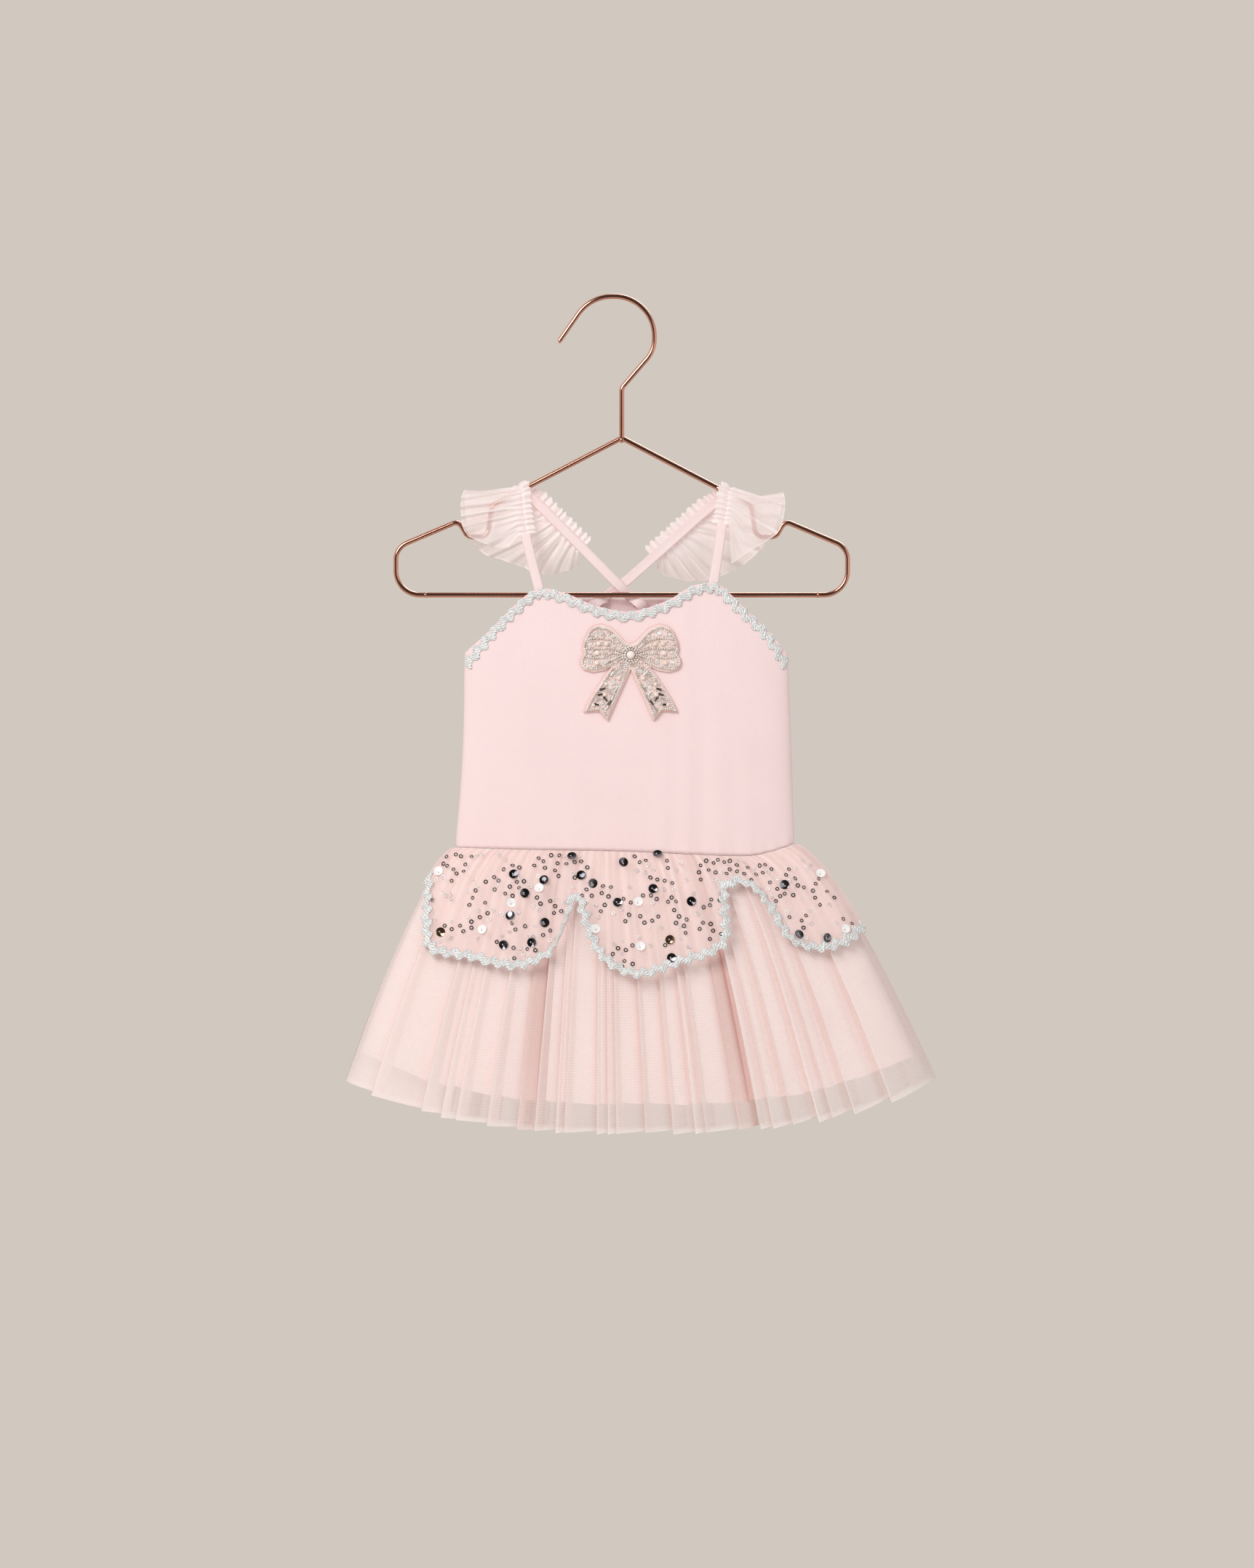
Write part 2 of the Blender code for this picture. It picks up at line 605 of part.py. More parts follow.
def rounded(path, reach):
    """The path with each point moved to the middle of its neighbours, which rounds the notches."""
    last = len(path) - 1
    middles = []
    for index in range(len(path)):
        near = min(reach, index, last - index)
        stretch = path[index - near:index + near + 1]
        middles.append(sum(stretch, Vector((0.0, 0.0))) / len(stretch))
    return middles


def make_scallop_braid(name, panel):
    """Braid along the overskirt panel's scalloped edge."""
    steps = 400
    fine = [mix(-0.99, 0.99, step / steps) for step in range(steps + 1)]
    edge = [Vector((across, panel.point(across, 1.0).z)) for across in fine]
    side = panel.point(0.0, 1.0).y

    def at_height(column, z):
        top = panel.point(column, 0.0).z
        bottom = panel.point(column, 1.0).z
        share = (top - z) / (top - bottom)
        return panel.point(column, share) if share <= 1 else panel.place(column, share)[0]

    def on_panel(across, z):
        across = min(max(across, -0.997), 0.997)
        upper = min(max(bisect.bisect_right(panel.columns, across), 1), len(panel.columns) - 1)
        low, high = panel.columns[upper - 1], panel.columns[upper]
        point = at_height(low, z).lerp(at_height(high, z), (across - low) / (high - low))
        return point, Vector((across, math.copysign(math.sqrt(1 - across ** 2), side), 0.0))

    totals = lengths_along([on_panel(*spot)[0] for spot in edge])
    route = rounded([point_along(edge, totals, totals[-1] * step / steps) for step in range(steps + 1)], 4)
    totals = lengths_along([on_panel(*spot)[0] for spot in route])

    def place(along, aside):
        here = point_along(route, totals, along)
        ahead = heading(route, totals, along)
        stretch = on_panel(here.x + 0.01, here.y)[0] - on_panel(here.x - 0.01, here.y)[0]
        scale = math.hypot(stretch.x, stretch.y) / 0.02
        way = Vector((ahead.x * scale, ahead.y)).normalized()
        inset = SCALLOP_BRAID_INSET + aside
        return on_panel(here.x - inset * way.y / scale, here.y + inset * way.x)

    braid(name, totals[-1], place)


def arm_height(x):
    """Height of the hanger's arm where a strap crosses it, and the arm's slope there."""
    (out_a, z_a, _), (out_b, z_b, _) = ARM_BENDS[:2]
    slope = (z_b - z_a) / (out_b - out_a)
    return z_a + (abs(x - STEM_X) - out_a) * slope, slope


class Strap:
    """Route of a ribbon, with the way across it and the way out from the body at each length."""

    def __init__(self, sizes):
        height, slope = arm_height(sizes["arm_x"])
        crossing = Vector((sizes["arm_x"], 0.0, height))
        arm_side = math.copysign(1.0, sizes["arm_x"] - STEM_X)
        arm_way = Vector((1.0, 0.0, slope * arm_side)).normalized()
        arm_up = Vector((-arm_way.z, 0.0, arm_way.x))
        clear = WIRE_DIAMETER / 2 + SEAM_GAP + RIBBON_WALL / 2
        over = [crossing + clear * (-math.cos(a) * Vector((0, 1, 0)) + math.sin(a) * arm_up)
                for a in (0.0, math.pi / 4, math.pi / 2, math.pi * 3 / 4, math.pi)]
        self.points = smooth_curve([*sizes["front"], *over, *sizes["back"]], 6)
        self.totals = lengths_along(self.points)
        top_index = max(range(len(self.points)), key=lambda i: self.points[i].z)
        self.top = self.totals[top_index]
        self.ways_across = [Vector((x, 0.0, z)).normalized() for x, z in sizes["sides_across"]]

    def length_at_z(self, z, behind):
        """Running length where the ribbon passes a height, in front of the arm or behind it."""
        found = [(abs(p.z - z), t) for p, t in zip(self.points, self.totals) if (t > self.top) == behind]
        return min(found)[1]

    def frame(self, at):
        """The ribbon's middle, its way across and the way out from the body, at a running length."""
        here = point_along(self.points, self.totals, at)
        ahead = point_along(self.points, self.totals, at + 1.0) - point_along(self.points, self.totals, at - 1.0)
        front, top, back = self.ways_across
        near = min(1.0, abs(at - self.top) / 16.0)
        across = top.lerp(back if at > self.top else front, near).normalized()
        return here, across, across.cross(ahead).normalized()

    def stations(self):
        """Running lengths for the ribbon's cross-sections, close together over the arm."""
        near = [self.top + step for step in (-9, -6.5, -4.5, -3, -1.5, 0, 1.5, 3, 4.5, 6.5, 9)]
        before = [near[0] * step / 6 for step in range(6)]
        after = [mix(near[-1], self.totals[-1], step / 9) for step in range(1, 10)]
        return before + near + after


def make_strap(name, strap):
    def place(at, aside):
        here, across, outward = strap.frame(at)
        return here + across * aside + outward * RIBBON_WALL / 2, outward

    cloth(name, "ribbon", strap.stations(), [-RIBBON_WIDTH / 2, RIBBON_WIDTH / 2], place, RIBBON_WALL)


def make_ruffle(name, strap, sizes, outer_side):
    """Gathered strip on the strap's outer face: a narrow heading, the stitch line and a flounce."""
    start = strap.length_at_z(sizes["from_z"], False)
    finish = strap.length_at_z(sizes["to_z"], True)
    edge = smooth_curve([row[1:] for row in sizes["edge"]], 6)
    shares = [point.x for point in smooth_curve([(row[0], 0.0, 0.0) for row in sizes["edge"]], 6)]
    base = RIBBON_WALL / 2 + SEAM_GAP + RUFFLE_WALL + 0.35
    steps = RUFFLE_GATHERS * 3
    columns = [step / steps for step in range(steps + 1)]

    def edge_point(share):
        return point_along(edge, shares, share)

    def stitch_point(share):
        here, across, outward = strap.frame(mix(start, finish, share))
        return here + across * STITCH_LINE * outer_side + outward * base

    def flounce_point(share, out):
        return stitch_point(share).lerp(edge_point(share), out)

    def place(share, row):
        here, across, outward = strap.frame(mix(start, finish, share))
        wave = math.cos(2 * math.pi * RUFFLE_GATHERS * share)
        if row < 2:
            aside, height = HEADING[row]
            return here - across * aside * outer_side + outward * (base + height + 0.45 * wave), outward
        out = (row - 2) ** 0.9
        along = flounce_point(min(share + 0.01, 1.0), out) - flounce_point(max(share - 0.01, 0.0), out)
        square = along.cross(edge_point(share) - stitch_point(share)).normalized() * -outer_side
        way = outward.lerp(square, min(1.0, out * 2)).normalized()
        over_top = math.exp(-((share - sizes["over_top"]) / OVER_TOP_SPREAD) ** 2)
        height = (0.3 + 2.6 * out) * (1 - over_top) * wave
        return flounce_point(share, out) + way * height, way

    cloth(name, "tulle", columns, RUFFLE_ROWS, place, RUFFLE_WALL)


def make_bow(panel):
    """Beaded bow: one flat raised body on the front panel, with a domed knot."""
    right = [Vector((x, 0.0, z)) for x, z in BOW_OUTLINE]
    left = [Vector((-point.x, 0.0, point.z)) for point in reversed(right) if point.x > 0.01]
    shape = bmesh.new()
    corners = [shape.verts.new(point) for point in right + left]
    face = shape.faces.new(corners)
    bmesh.ops.recalc_face_normals(shape, faces=[face])
    if face.normal.y > 0:
        face.normal_flip()
    raised = bmesh.ops.extrude_face_region(shape, geom=[face])
    top = [item for item in raised["geom"] if isinstance(item, bmesh.types.BMFace)]
    bmesh.ops.translate(shape, verts=top[0].verts[:], vec=(0.0, -BOW_WALL, 0.0))
    bmesh.ops.inset_region(shape, faces=top, thickness=BOW_RIM, depth=BOW_CROWN)
    bmesh.ops.triangulate(shape, faces=shape.faces[:])
    for vert in shape.verts:
        x = BOW_CENTRE[0] + vert.co.x
        z = BOW_CENTRE[1] + vert.co.z
        ground = front_point(panel, x, z)[0]
        vert.co = Vector((x, ground.y + vert.co.y - BRAID_LIFT, z))
    bow = link_mesh("bow_applique", "beading", shape)

    dome = bmesh.new()
    bmesh.ops.create_uvsphere(dome, u_segments=12, v_segments=6, radius=KNOT_RADIUS)
    bmesh.ops.scale(dome, vec=(1.0, KNOT_DEPTH_SHARE, 1.0), verts=dome.verts[:])
    ground = front_point(panel, *BOW_CENTRE)[0]
    for vert in dome.verts:
        vert.co.y = min(vert.co.y, 0.0)
        vert.co += Vector((BOW_CENTRE[0], ground.y - BRAID_LIFT - KNOT_LIFT, BOW_CENTRE[1]))
    knot = link_mesh("bow_knot_guide", "beading", dome)
    knot.hide_render = True
    knot.display_type = "WIRE"
    union = bow.modifiers.new("knot", "BOOLEAN")
    union.operation = "UNION"
    union.object = knot


def main():
    clear_scene()
    make_hanger()
    front = make_bodice()
    make_neck_braid(front)
    make_bow(front)
    make_skirt()
    make_scallop_braid("overskirt_braid_front", make_overskirt("overskirt_front", -1))
    make_scallop_braid("overskirt_braid_back", make_overskirt("overskirt_back", 1))
    for name, sizes, ruffle, side in (("left", LEFT_STRAP, LEFT_RUFFLE, -1), ("right", RIGHT_STRAP, RIGHT_RUFFLE, 1)):
        strap = Strap(sizes)
        make_strap("strap_" + name, strap)
        make_ruffle("ruffle_" + name, strap, ruffle, side)


main()
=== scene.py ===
"""A toddler's ballet tutu dress, hung by crossed ribbon straps on a bent-wire hanger.

The front faces -Y, +X is to the right as the front is seen, and the origin is under the crown of the hanger's hook.
Sizes below are millimetres. Every piece is made in millimetres and written in metres.
"""
import bisect
import math
import random

import bmesh
import bpy
from mathutils import Matrix, Vector, noise


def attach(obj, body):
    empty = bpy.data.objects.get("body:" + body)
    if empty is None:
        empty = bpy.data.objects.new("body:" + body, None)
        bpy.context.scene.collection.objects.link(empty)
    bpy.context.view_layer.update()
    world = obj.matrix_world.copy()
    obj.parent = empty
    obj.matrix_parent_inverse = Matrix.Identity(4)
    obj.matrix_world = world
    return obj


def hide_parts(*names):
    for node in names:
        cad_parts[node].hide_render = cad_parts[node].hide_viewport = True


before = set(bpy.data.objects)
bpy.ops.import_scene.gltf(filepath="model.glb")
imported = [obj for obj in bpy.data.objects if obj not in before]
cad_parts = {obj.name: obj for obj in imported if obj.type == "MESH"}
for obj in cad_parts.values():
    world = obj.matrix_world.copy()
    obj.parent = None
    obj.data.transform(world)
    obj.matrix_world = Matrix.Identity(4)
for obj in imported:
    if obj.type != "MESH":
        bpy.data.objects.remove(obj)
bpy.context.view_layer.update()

MM = 0.001
SEAM_GAP = 0.3

# Hanger wire. Rows: x or way out from the stem, height, radius of the bend there.
WIRE_DIAMETER = 3.5
STEM_X = 3.8
HOOK_BENDS = [
    (-37.7, -27.9, 0),
    (-17, 1.75, 27),
    (25.5, 1.75, 26.5),
    (25.5, -34.3, 20),
    (STEM_X, -59.4, 6),
    (STEM_X, -93.8, 0),
]
ARM_BENDS = [
    (1.2, -93.4, 0),
    (86.5, -137.9, 6),
    (89.5, -158.7, 6),
    (103, -158.7, 5.5),
    (109, -148.3, 4.5),
    (150.75, -166, 12),
    (150.75, -197.6, 16),
    (131, -197.6, 0),
]
ARM_TOP_OUT = 2.2
ARM_TOP_Z = -93.7
BAR_Z = -197.6
BAR_HALF_LENGTH = 131.0
COLLAR_X = 68.5
DEGREES_PER_STEP = 4

# Bodice. Rows: height, then the left and right seams' x, or a panel's depth.
FLATNESS = 2.6
WAIST_Z = -372.0
WAIST_FRONT_DEPTH = 14.0
WAIST_BACK_DEPTH = 12.0
JERSEY_WALL = 1.3
JERSEY_PATCH = 34.0
PUCKER_TURNS = 95.0  # of the fine puckers along the waist seam
PUCKER_REACH = 0.035
BODICE_SIDES = [(WAIST_Z, -107.8, 119.5), (-305.8, -102.6, 117.2), (-237, -101, 115), (-185, -101, 115)]
FRONT_DEPTH = [(WAIST_Z, WAIST_FRONT_DEPTH), (-300, 14.5), (-240, 12), (-215, 9.8), (-185, 6.8)]
BACK_DEPTH = [(WAIST_Z, WAIST_BACK_DEPTH), (-300, 12), (-240, 10), (-195, 9.3)]
NECKLINE = [  # x, height
    (-101, -236.2), (-86.1, -223), (-70, -206.8), (-56, -195.2), (-45, -193.6), (-29.7, -198.1),
    (-13.6, -204.8), (9.5, -208.7), (33.7, -201.6), (49, -192.4), (60, -189.8), (69.5, -191.2),
    (86, -206.8), (102.1, -222.5), (115, -237),
]
BACK_EDGE = [
    (-101, -236.2), (-84, -224), (-60, -207.5), (-38, -200.5), (7, -200), (52, -200.5),
    (74, -207.5), (98, -224), (115, -237),
]
WAIST_SEAM = [(-1, -366), (-0.5, -367.5), (0, -368.5), (0.65, -371.5), (0.85, -369), (1, -363.6)]
SOFT_FOLDS = [  # how far across, width across, height, how far up the panel it dies out
    (0.22, 0.05, 0.9, 0.9), (0.36, 0.06, 1.3, 1), (0.55, 0.07, 1.2, 0.8), (0.72, 0.06, 1, 0.7),
    (-0.62, 0.08, 0.7, 0.6), (-0.3, 0.05, 0.5, 0.5),
]

# Skirt layers. The steps are shares of a pleat, of its underlap and of a lining pleat.
HEM_CENTRE = 16.8
HEM_HALF_WIDTH = 197.0
SKIRT_DEPTHS = {-1: (WAIST_FRONT_DEPTH, 46), 1: (WAIST_BACK_DEPTH, 27)}  # front and back: at the waist, at the hem
HEM_SIDE_Z = -520.0
HEM_DIP = 34.5
HEM_DIP_POWER = 2.8
FLARE_POWER = 0.75
UNDER_LAYER_RISE = 18.5
PLEAT_DEPTH = 1.5
PLEAT_UNDERLAP = 0.24  # as a share of the next pleat's width, up to the widest
WIDEST_UNDERLAP = 16.0
FRONT_PLEATS = [  # width at the hem, how far its left edge stands out, how far its right side falls back
    (20.4, 1.4, 1.6), (32.5, 2.2, 3.2), (12.5, 1.8, 1.6), (10.9, 1.6, 1.6), (20.4, 2.6, 2.6), (17, 2.6, 3.2),
    (13.6, -1.6, 3.6), (13.1, 2.4, 1.8), (6.3, 1, 0.8), (20.9, 2.6, 2.4), (7.3, 1.2, 0.8), (5.8, 1, 0.8),
    (18.9, 2.6, 2.6), (18.2, 2.6, 2.8), (14.9, 2.2, 2), (6.3, 1, 0.8), (23.8, 2.8, 3.4), (12.1, -1.6, 3.4),
    (8.3, 2, 1), (12.4, 1.8, 1.8), (18.2, 2.4, 2.8), (8.2, 1.2, 1), (13.6, 1.8, 2.2), (25.3, 3, 2.6),
    (33, 2, 1.2),
]
BACK_PLEAT_COUNT = 24
BACK_PLEAT_WIDTH = 16.4
SKIRT_DROP = 155.0  # from the waist seam to the hem, roughly
HEM_THREAD = 1.0
FOLD_CREASE = math.radians(60)
CREST_STEPS = (0, 0.03, 0.08, 0.2, 0.38, 0.56, 0.68, 0.78, 0.88, 1)
UNDERLAP_STEPS = (0.25, 0.6, 0.94)
LINING_STEPS = (0, 0.12, 0.35, 0.6, 0.8, 0.96)
LINING_INSET = 0.8  # how far the under layer hangs inside the outer one at the waist
LINING_INSET_GROWTH = 3.2

# Overskirt. Places round the waist run from 0 at the left seam over the front to 1, and over the back to 2.
SCALLOPS = [  # for each scallop, from notch to notch: (how far round the waist, drop of the edge)
    [(0, 15), (0.024, 30), (0.058, 52), (0.075, 64), (0.1, 69), (0.17, 72), (0.25, 77.5),
     (0.3, 74.5), (0.335, 66.5), (0.353, 54.5), (0.377, 28)],
    [(0.377, 28), (0.409, 55), (0.432, 69), (0.466, 78), (0.506, 82), (0.54, 80), (0.581, 74.5),
     (0.67, 65), (0.703, 54.5), (0.717, 38), (0.735, 21), (0.769, 17.5)],
    [(0.769, 17.5), (0.795, 20), (0.814, 31), (0.825, 49.5), (0.84, 57.5), (0.873, 62), (0.92, 62.5),
     (0.96, 59.5), (1, 54.5), (1.06, 48), (1.12, 38), (1.17, 20)],
    [(1.17, 20), (1.2, 44), (1.25, 63), (1.33, 74), (1.41, 77), (1.48, 73), (1.54, 58), (1.58, 24)],
    [(1.58, 24), (1.61, 48), (1.65, 66), (1.72, 76), (1.79, 78), (1.86, 72), (1.94, 46), (2, 15)],
]
OVERSKIRT_GATHERS = 20
FINE_GATHERS = 47
MESH_LIFT = 1.85  # how far the mesh stands out at the waist
MESH_PUFF = 5.5  # and how much further below its gathers
MESH_SPREAD = 2.0
MESH_SIDES = 0.995  # nearest that a spot on the mesh comes to its side seams
MESH_SPOT_REACH = 1.12  # farthest below the edge, as a share of the mesh's length
TURNED_UNDER = 0.351  # where round the waist the first scallop's right side is folded under

# Zigzag braid.
NECK_BRAID_WIDTH = 5.6
SCALLOP_BRAID_WIDTH = 5.4
BRAID_SWING = 1.3
BRAID_PERIOD = 8.8
BRAID_WALL = 1.1
BRAID_SHELL = 0.7
BRAID_STEPS = 14
NECK_BRAID_INSET = 3.5
SCALLOP_BRAID_INSET = 1.2

# Ribbon straps and their ruffles.
RIBBON_WIDTH = 6.6
RIBBON_WALL = 0.8
STRAP_TURN_REACH = 16.0  # from the arm to where a strap lies fully along the body
STRAP_END_HALF_WIDTH = 3.1
STRAP_END_HALF_LENGTH = 6.5
STRAP_END_Y = 4.6
STRAP_END_BULGE = 4.0
LEFT_STRAP = {
    "arm_x": -63.8,
    "front": [(-50, -5.3, -201), (-51.5, -4.8, -193.4), (-56, -4.3, -176), (-60.4, -4, -157),
              (-62.8, -3.7, -141)],
    "back": [(-54, 3.8, -134.8), (-40, 4.2, -148.7), (-22.3, 4.4, -166.4), (1, 4.4, -190.2),
             (7.5, 5.6, -196.6), (14.5, 7, -203.4)],
    "sides_across": [(0.99, 0.14), (0.885, 0.465), (0.707, 0.707)],
}
RIGHT_STRAP = {
    "arm_x": 74.3,
    "front": [(63.6, -5, -198), (64.9, -4.6, -190), (68, -4.2, -170), (70.4, -4, -152.6),
              (72.6, -3.7, -141)],
    "back": [(67, 3.8, -135.4), (53, 4.6, -147), (37.9, 5.4, -160.6), (5.7, 6.2, -189.1),
             (-4, 6.6, -196.4), (-12.1, 7.1, -202.4)],
    "sides_across": [(0.99, -0.14), (0.885, -0.465), (0.67, -0.74)],
}
RUFFLE_GATHERS = 22
HEADING_GATHERS = 27
HEADING_EDGE = 6.8
BACK_HEADING_EDGE = 8.6
HEADING_RIDGE = -4.2
HEADING_LIFT = 1.1
STITCH_STRETCH = (2.2, 1, 0.7, 1)
LEFT_RUFFLE = {  # rows of edge: share of the ruffle's length, then its free edge's x, y and z
    "from_z": -157.0, "to_z": -166.0, "over_top": 0.42, "seed": 3.0,
    "edge": [(0, -72, -9, -166.5), (0.06, -87, -10.5, -164), (0.12, -100.5, -10, -156),
             (0.22, -103.5, -8, -143), (0.34, -103, -5.5, -131.5), (0.42, -100.5, 0, -127.5),
             (0.49, -101, 5.5, -134), (0.58, -99, 8.5, -151), (0.67, -91, 11, -168),
             (0.77, -70, 13, -176), (0.88, -46, 13.5, -184), (1, -25, 13, -178)],
}
RIGHT_RUFFLE = {
    "from_z": -150.0, "to_z": -172.0, "over_top": 0.38, "seed": 11.0,
    "edge": [(0, 77, -9, -177), (0.05, 87, -10.5, -170), (0.1, 99, -11, -162.5),
             (0.15, 108.5, -10, -155.5), (0.23, 112.5, -7.5, -142), (0.32, 112.5, -5, -132.5),
             (0.38, 111, 0, -129), (0.45, 111, 5.5, -136), (0.55, 106, 8.5, -152),
             (0.66, 94, 11, -170), (0.77, 72, 13, -184), (0.89, 49, 13.5, -188),
             (1, 27, 13, -182)],
}

# Beaded bow, about its knot: the right half, which is mirrored for the left.
BOW_CENTRE = (9.7, -237.8)
BOW_SIZE = 0.975
BOW_OUTLINE = [
    (0, 7.4), (3.8, 8.8), (7.5, 13), (12.5, 18), (19.1, 20.9), (24.5, 19.8), (28.2, 16.2), (31.2, 9.5),
    (32, 4.5), (31.2, 0.6), (33, -2.6), (33.6, -6), (31.6, -9.8), (25.6, -11.6), (18.5, -10.4), (12.7, -7.9),
    (17.5, -14.5), (23.5, -24), (28.3, -32), (31.5, -38.9), (26, -38.2), (20.9, -38), (18, -41.5),
    (15.3, -44.6), (11.5, -35.5), (7, -25), (3.2, -16.5), (0.3, -9.8),
]
BOW_SEED_ROWS = [
    [(3.4, 6), (8.8, 11.6), (13.6, 16), (19.2, 18.4), (23.8, 17.4), (26.8, 14.2), (29.2, 8.6), (29.8, 4.5),
     (29, 1), (31, -2.6), (31.3, -6), (29.3, -8.6), (25, -9.4), (18.5, -8.3), (12, -5.9), (6.6, -2.6)],
    [(5.6, 4.8), (11, 9.2), (16, 10.6), (22.5, 11.2), (27, 10.6)],
    [(6.6, 2.4), (12.5, 4.4), (19, 4.4), (24, 4), (28.4, 4.4)],
    [(6.8, 0.6), (12.5, 1.2), (18, -1.6), (24.5, -1.8), (28.6, -1.2)],
    [(6.8, -0.8), (12, -3), (15, -4.6)],
    [(2.4, -9.2), (5.2, -17), (9, -26), (12.9, -35), (15.4, -41.4)],
    [(15.4, -41.4), (18.6, -37.4), (20.9, -35.8), (24.5, -36.4), (28.6, -36.8)],
    [(28.6, -36.8), (25.8, -31.4), (21.2, -23.8), (15.8, -15.4), (11, -8.6)],
    [(5, -8), (9.2, -9.8), (12.4, -13.6)],
]
BOW_STONES = [  # x, z, radius, kind
    (19.1, 14.3, 2, "stone"), (11.8, 12.4, 1.6, "stone"), (20.6, 7.6, 1.7, "pearl"), (15.8, 7.2, 1.6, "pearl"),
    (25.2, 13.4, 1.5, "stone"), (10.6, 6, 1.2, "stone"), (21.5, 1.1, 1.9, "pearl"), (26.4, 1.4, 1.6, "stone"),
    (16.4, 1.6, 1.3, "stone"), (17.1, -4.6, 2, "stone"), (22.2, -5.4, 1.8, "pearl"), (27, -4.9, 2, "stone"),
    (6.5, -11.6, 2, "stone"), (8, -15.6, 1.5, "pearl"), (11.3, -18.4, 1.9, "stone"),
    (12.7, -22, 1.7, "stone"), (16.6, -26.4, 1.6, "pearl"), (18.6, -32.2, 1.7, "stone"),
    (24.2, -33.4, 1.3, "pearl"), (15.8, -19.6, 1.3, "pearl"),
]
BOW_BUGLES = [  # x, z, turn in degrees, kind
    (9.2, -22.6, -62, "silver"), (18.2, -22.8, -20, "dark"), (19.6, -26.4, -14, "dark"), (21.2, -29.6, -24, "silver"),
    (11.8, -28.6, -64, "silver"), (13.6, -31.8, -58, "dark"), (15.4, -35.2, -52, "silver"), (16.4, -29.4, 52, "dark"),
    (12.4, -25.6, 48, "silver"), (22.4, -33, 12, "dark"), (12.2, -12.6, -52, "silver"), (9.6, -12.4, 40, "silver"),
]
BEAD_LIFT = 3.0  # from the bodice, on top of the backing
BUGLE_LIFT = 3.1
SEED_STEP = 1.55
KNOT_REACH = 6.5
KNOT_RINGS = [(3.9, 14), (5.5, 20)]  # radius and beads
KNOT_PEARL_RADIUS = 2.9

# Sequins. Rows: x, height and kind of the large ones seen from the front. The white kind are the metallic discs drawn
# white where they catch the light: painted reflection.
FRONT_PAILLETTES = [
    (-29.4, -372.3, "dark"), (5.2, -376.2, "dark"), (28.8, -371, "dark"), (-66.9, -384, "dark"),
    (-22.4, -384.8, "dark"), (-46.4, -387.9, "dark"), (-59.1, -396.5, "dark"), (24.7, -393.6, "dark"),
    (1.3, -402.7, "dark"), (50.4, -401.9, "dark"), (-68.5, -411.5, "dark"), (-46.4, -416, "dark"),
    (-72.9, -430.8, "dark"), (-54.4, -429.2, "dark"), (37.4, -439.4, "dark"), (112.3, -391, "grey"),
    (152.4, -398, "dark"), (120.4, -424, "grey"), (137.8, -426.4, "dark"), (-128.8, -406.6, "dark"),
    (-117.1, -382.2, "white"), (-68.2, -403, "white"), (15, -402.2, "white"), (-13.1, -420.1, "white"),
    (16.6, -431.6, "white"), (133.7, -383.7, "white"), (148.8, -420.4, "white"), (-49.5, -393.1, "white"),
    (-113.2, -422.5, "bronze"), (36.4, -427.4, "bronze"), (-15.1, -390, "grey"), (-87, -420.5, "white"),
]
DISC_KINDS = ("dark", "grey", "white", "bronze")
DISC_RINGS = [(0.5, 0), (1.6, 0.16), (2.6, 0.34), (3.15, 0.52)]  # radius and height, from the hole out
RING_RINGS = [(0.78, 0), (1.15, 0.2), (1.52, 0)]
DISC_LIFT = 0.9  # from the mesh, so that a tilted one stays clear of it
RING_LIFT = 0.7
CLEAR_RING_LIFT = 0.6
DISC_GAP = 4.4  # least distance from each kind to a ring set after it
RING_GAP = 3.6
CLEAR_RING_GAP = 3.3
DISC_OVERHANG = 4.0
RING_CLUSTERS = 112
CLUSTER_SIZES = (1, 2, 2, 3, 3, 4)
RING_STEP = 4.8
CLEAR_RINGS = 190
RING_TOP = -367.0
SEAM_CLEARANCE = 3.5
BRAID_CLEARANCE = 4.5
SEAM_MIDDLE_Z = -366.0
MIDDLE_DROP = 170.0
MEAN_HALF_WIDTH = 135.0

# Studio, in metres. Rows: place, width, watts and colour of each light.
LIGHTS = {
    "key": ((-1.4, -2.3, 1.1), 1.5, 41, (1, 0.99, 0.975)),
    "fill": ((1.9, -2.4, 0), 1.8, 7, (1, 1, 1)),
    "back": ((0.6, 2.2, 1.2), 1.4, 26, (1, 1, 1)),
}
LIGHTS_AIM = (0, 0, -0.3)
FLOOR_Z = -1.4
CAMERA_PLACE = (0.0073, -7, -0.3238)
CAMERA_LENS = 240.69


def srgb(*channels):
    """Linear colour of an 8-bit display colour."""
    shares = [channel / 255 for channel in channels]
    return (*(c / 12.92 if c <= 0.04045 else ((c + 0.055) / 1.055) ** 2.4 for c in shares), 1.0)


def mix(low, high, share):
    return low + (high - low) * share


def clamp(value, low=0.0, high=1.0):
    return min(max(value, low), high)


def bell(value, width, power=2):
    """1 at zero, falling away over about a width."""
    return math.exp(-(value / width) ** power)


def even_steps(low, high, count):
    return [mix(low, high, step / count) for step in range(count + 1)]


def read_table(table, at, column=1):
    """Straight-line reading of one column of a table whose first column rises."""
    keys = [row[0] for row in table]
    upper = clamp(bisect.bisect_right(keys, at), 1, len(keys) - 1)
    low, high = table[upper - 1], table[upper]
    return mix(low[column], high[column], clamp((at - low[0]) / (high[0] - low[0])))


def smooth_curve(points, steps_per_span=8):
    """Points of a Catmull-Rom curve through the given ones."""
    points = [Vector(p) for p in points]
    ends = [points[0] * 2 - points[1]] + points + [points[-1] * 2 - points[-2]]
    curve = []
    for a, b, c, d in zip(ends, ends[1:], ends[2:], ends[3:]):
        for step in range(steps_per_span):
            t = step / steps_per_span
            curve.append(0.5 * ((2 * b) + (c - a) * t + (2 * a - 5 * b + 4 * c - d) * t * t
                                + (3 * b - a - 3 * c + d) * t ** 3))
    return curve + [points[-1]]


def smooth_table(table):
    """A table's rows with smooth in-between rows."""
    rows = [row if len(row) > 2 else (*row, 0.0) for row in table]
    return [tuple(row) for row in smooth_curve(rows, 6)]


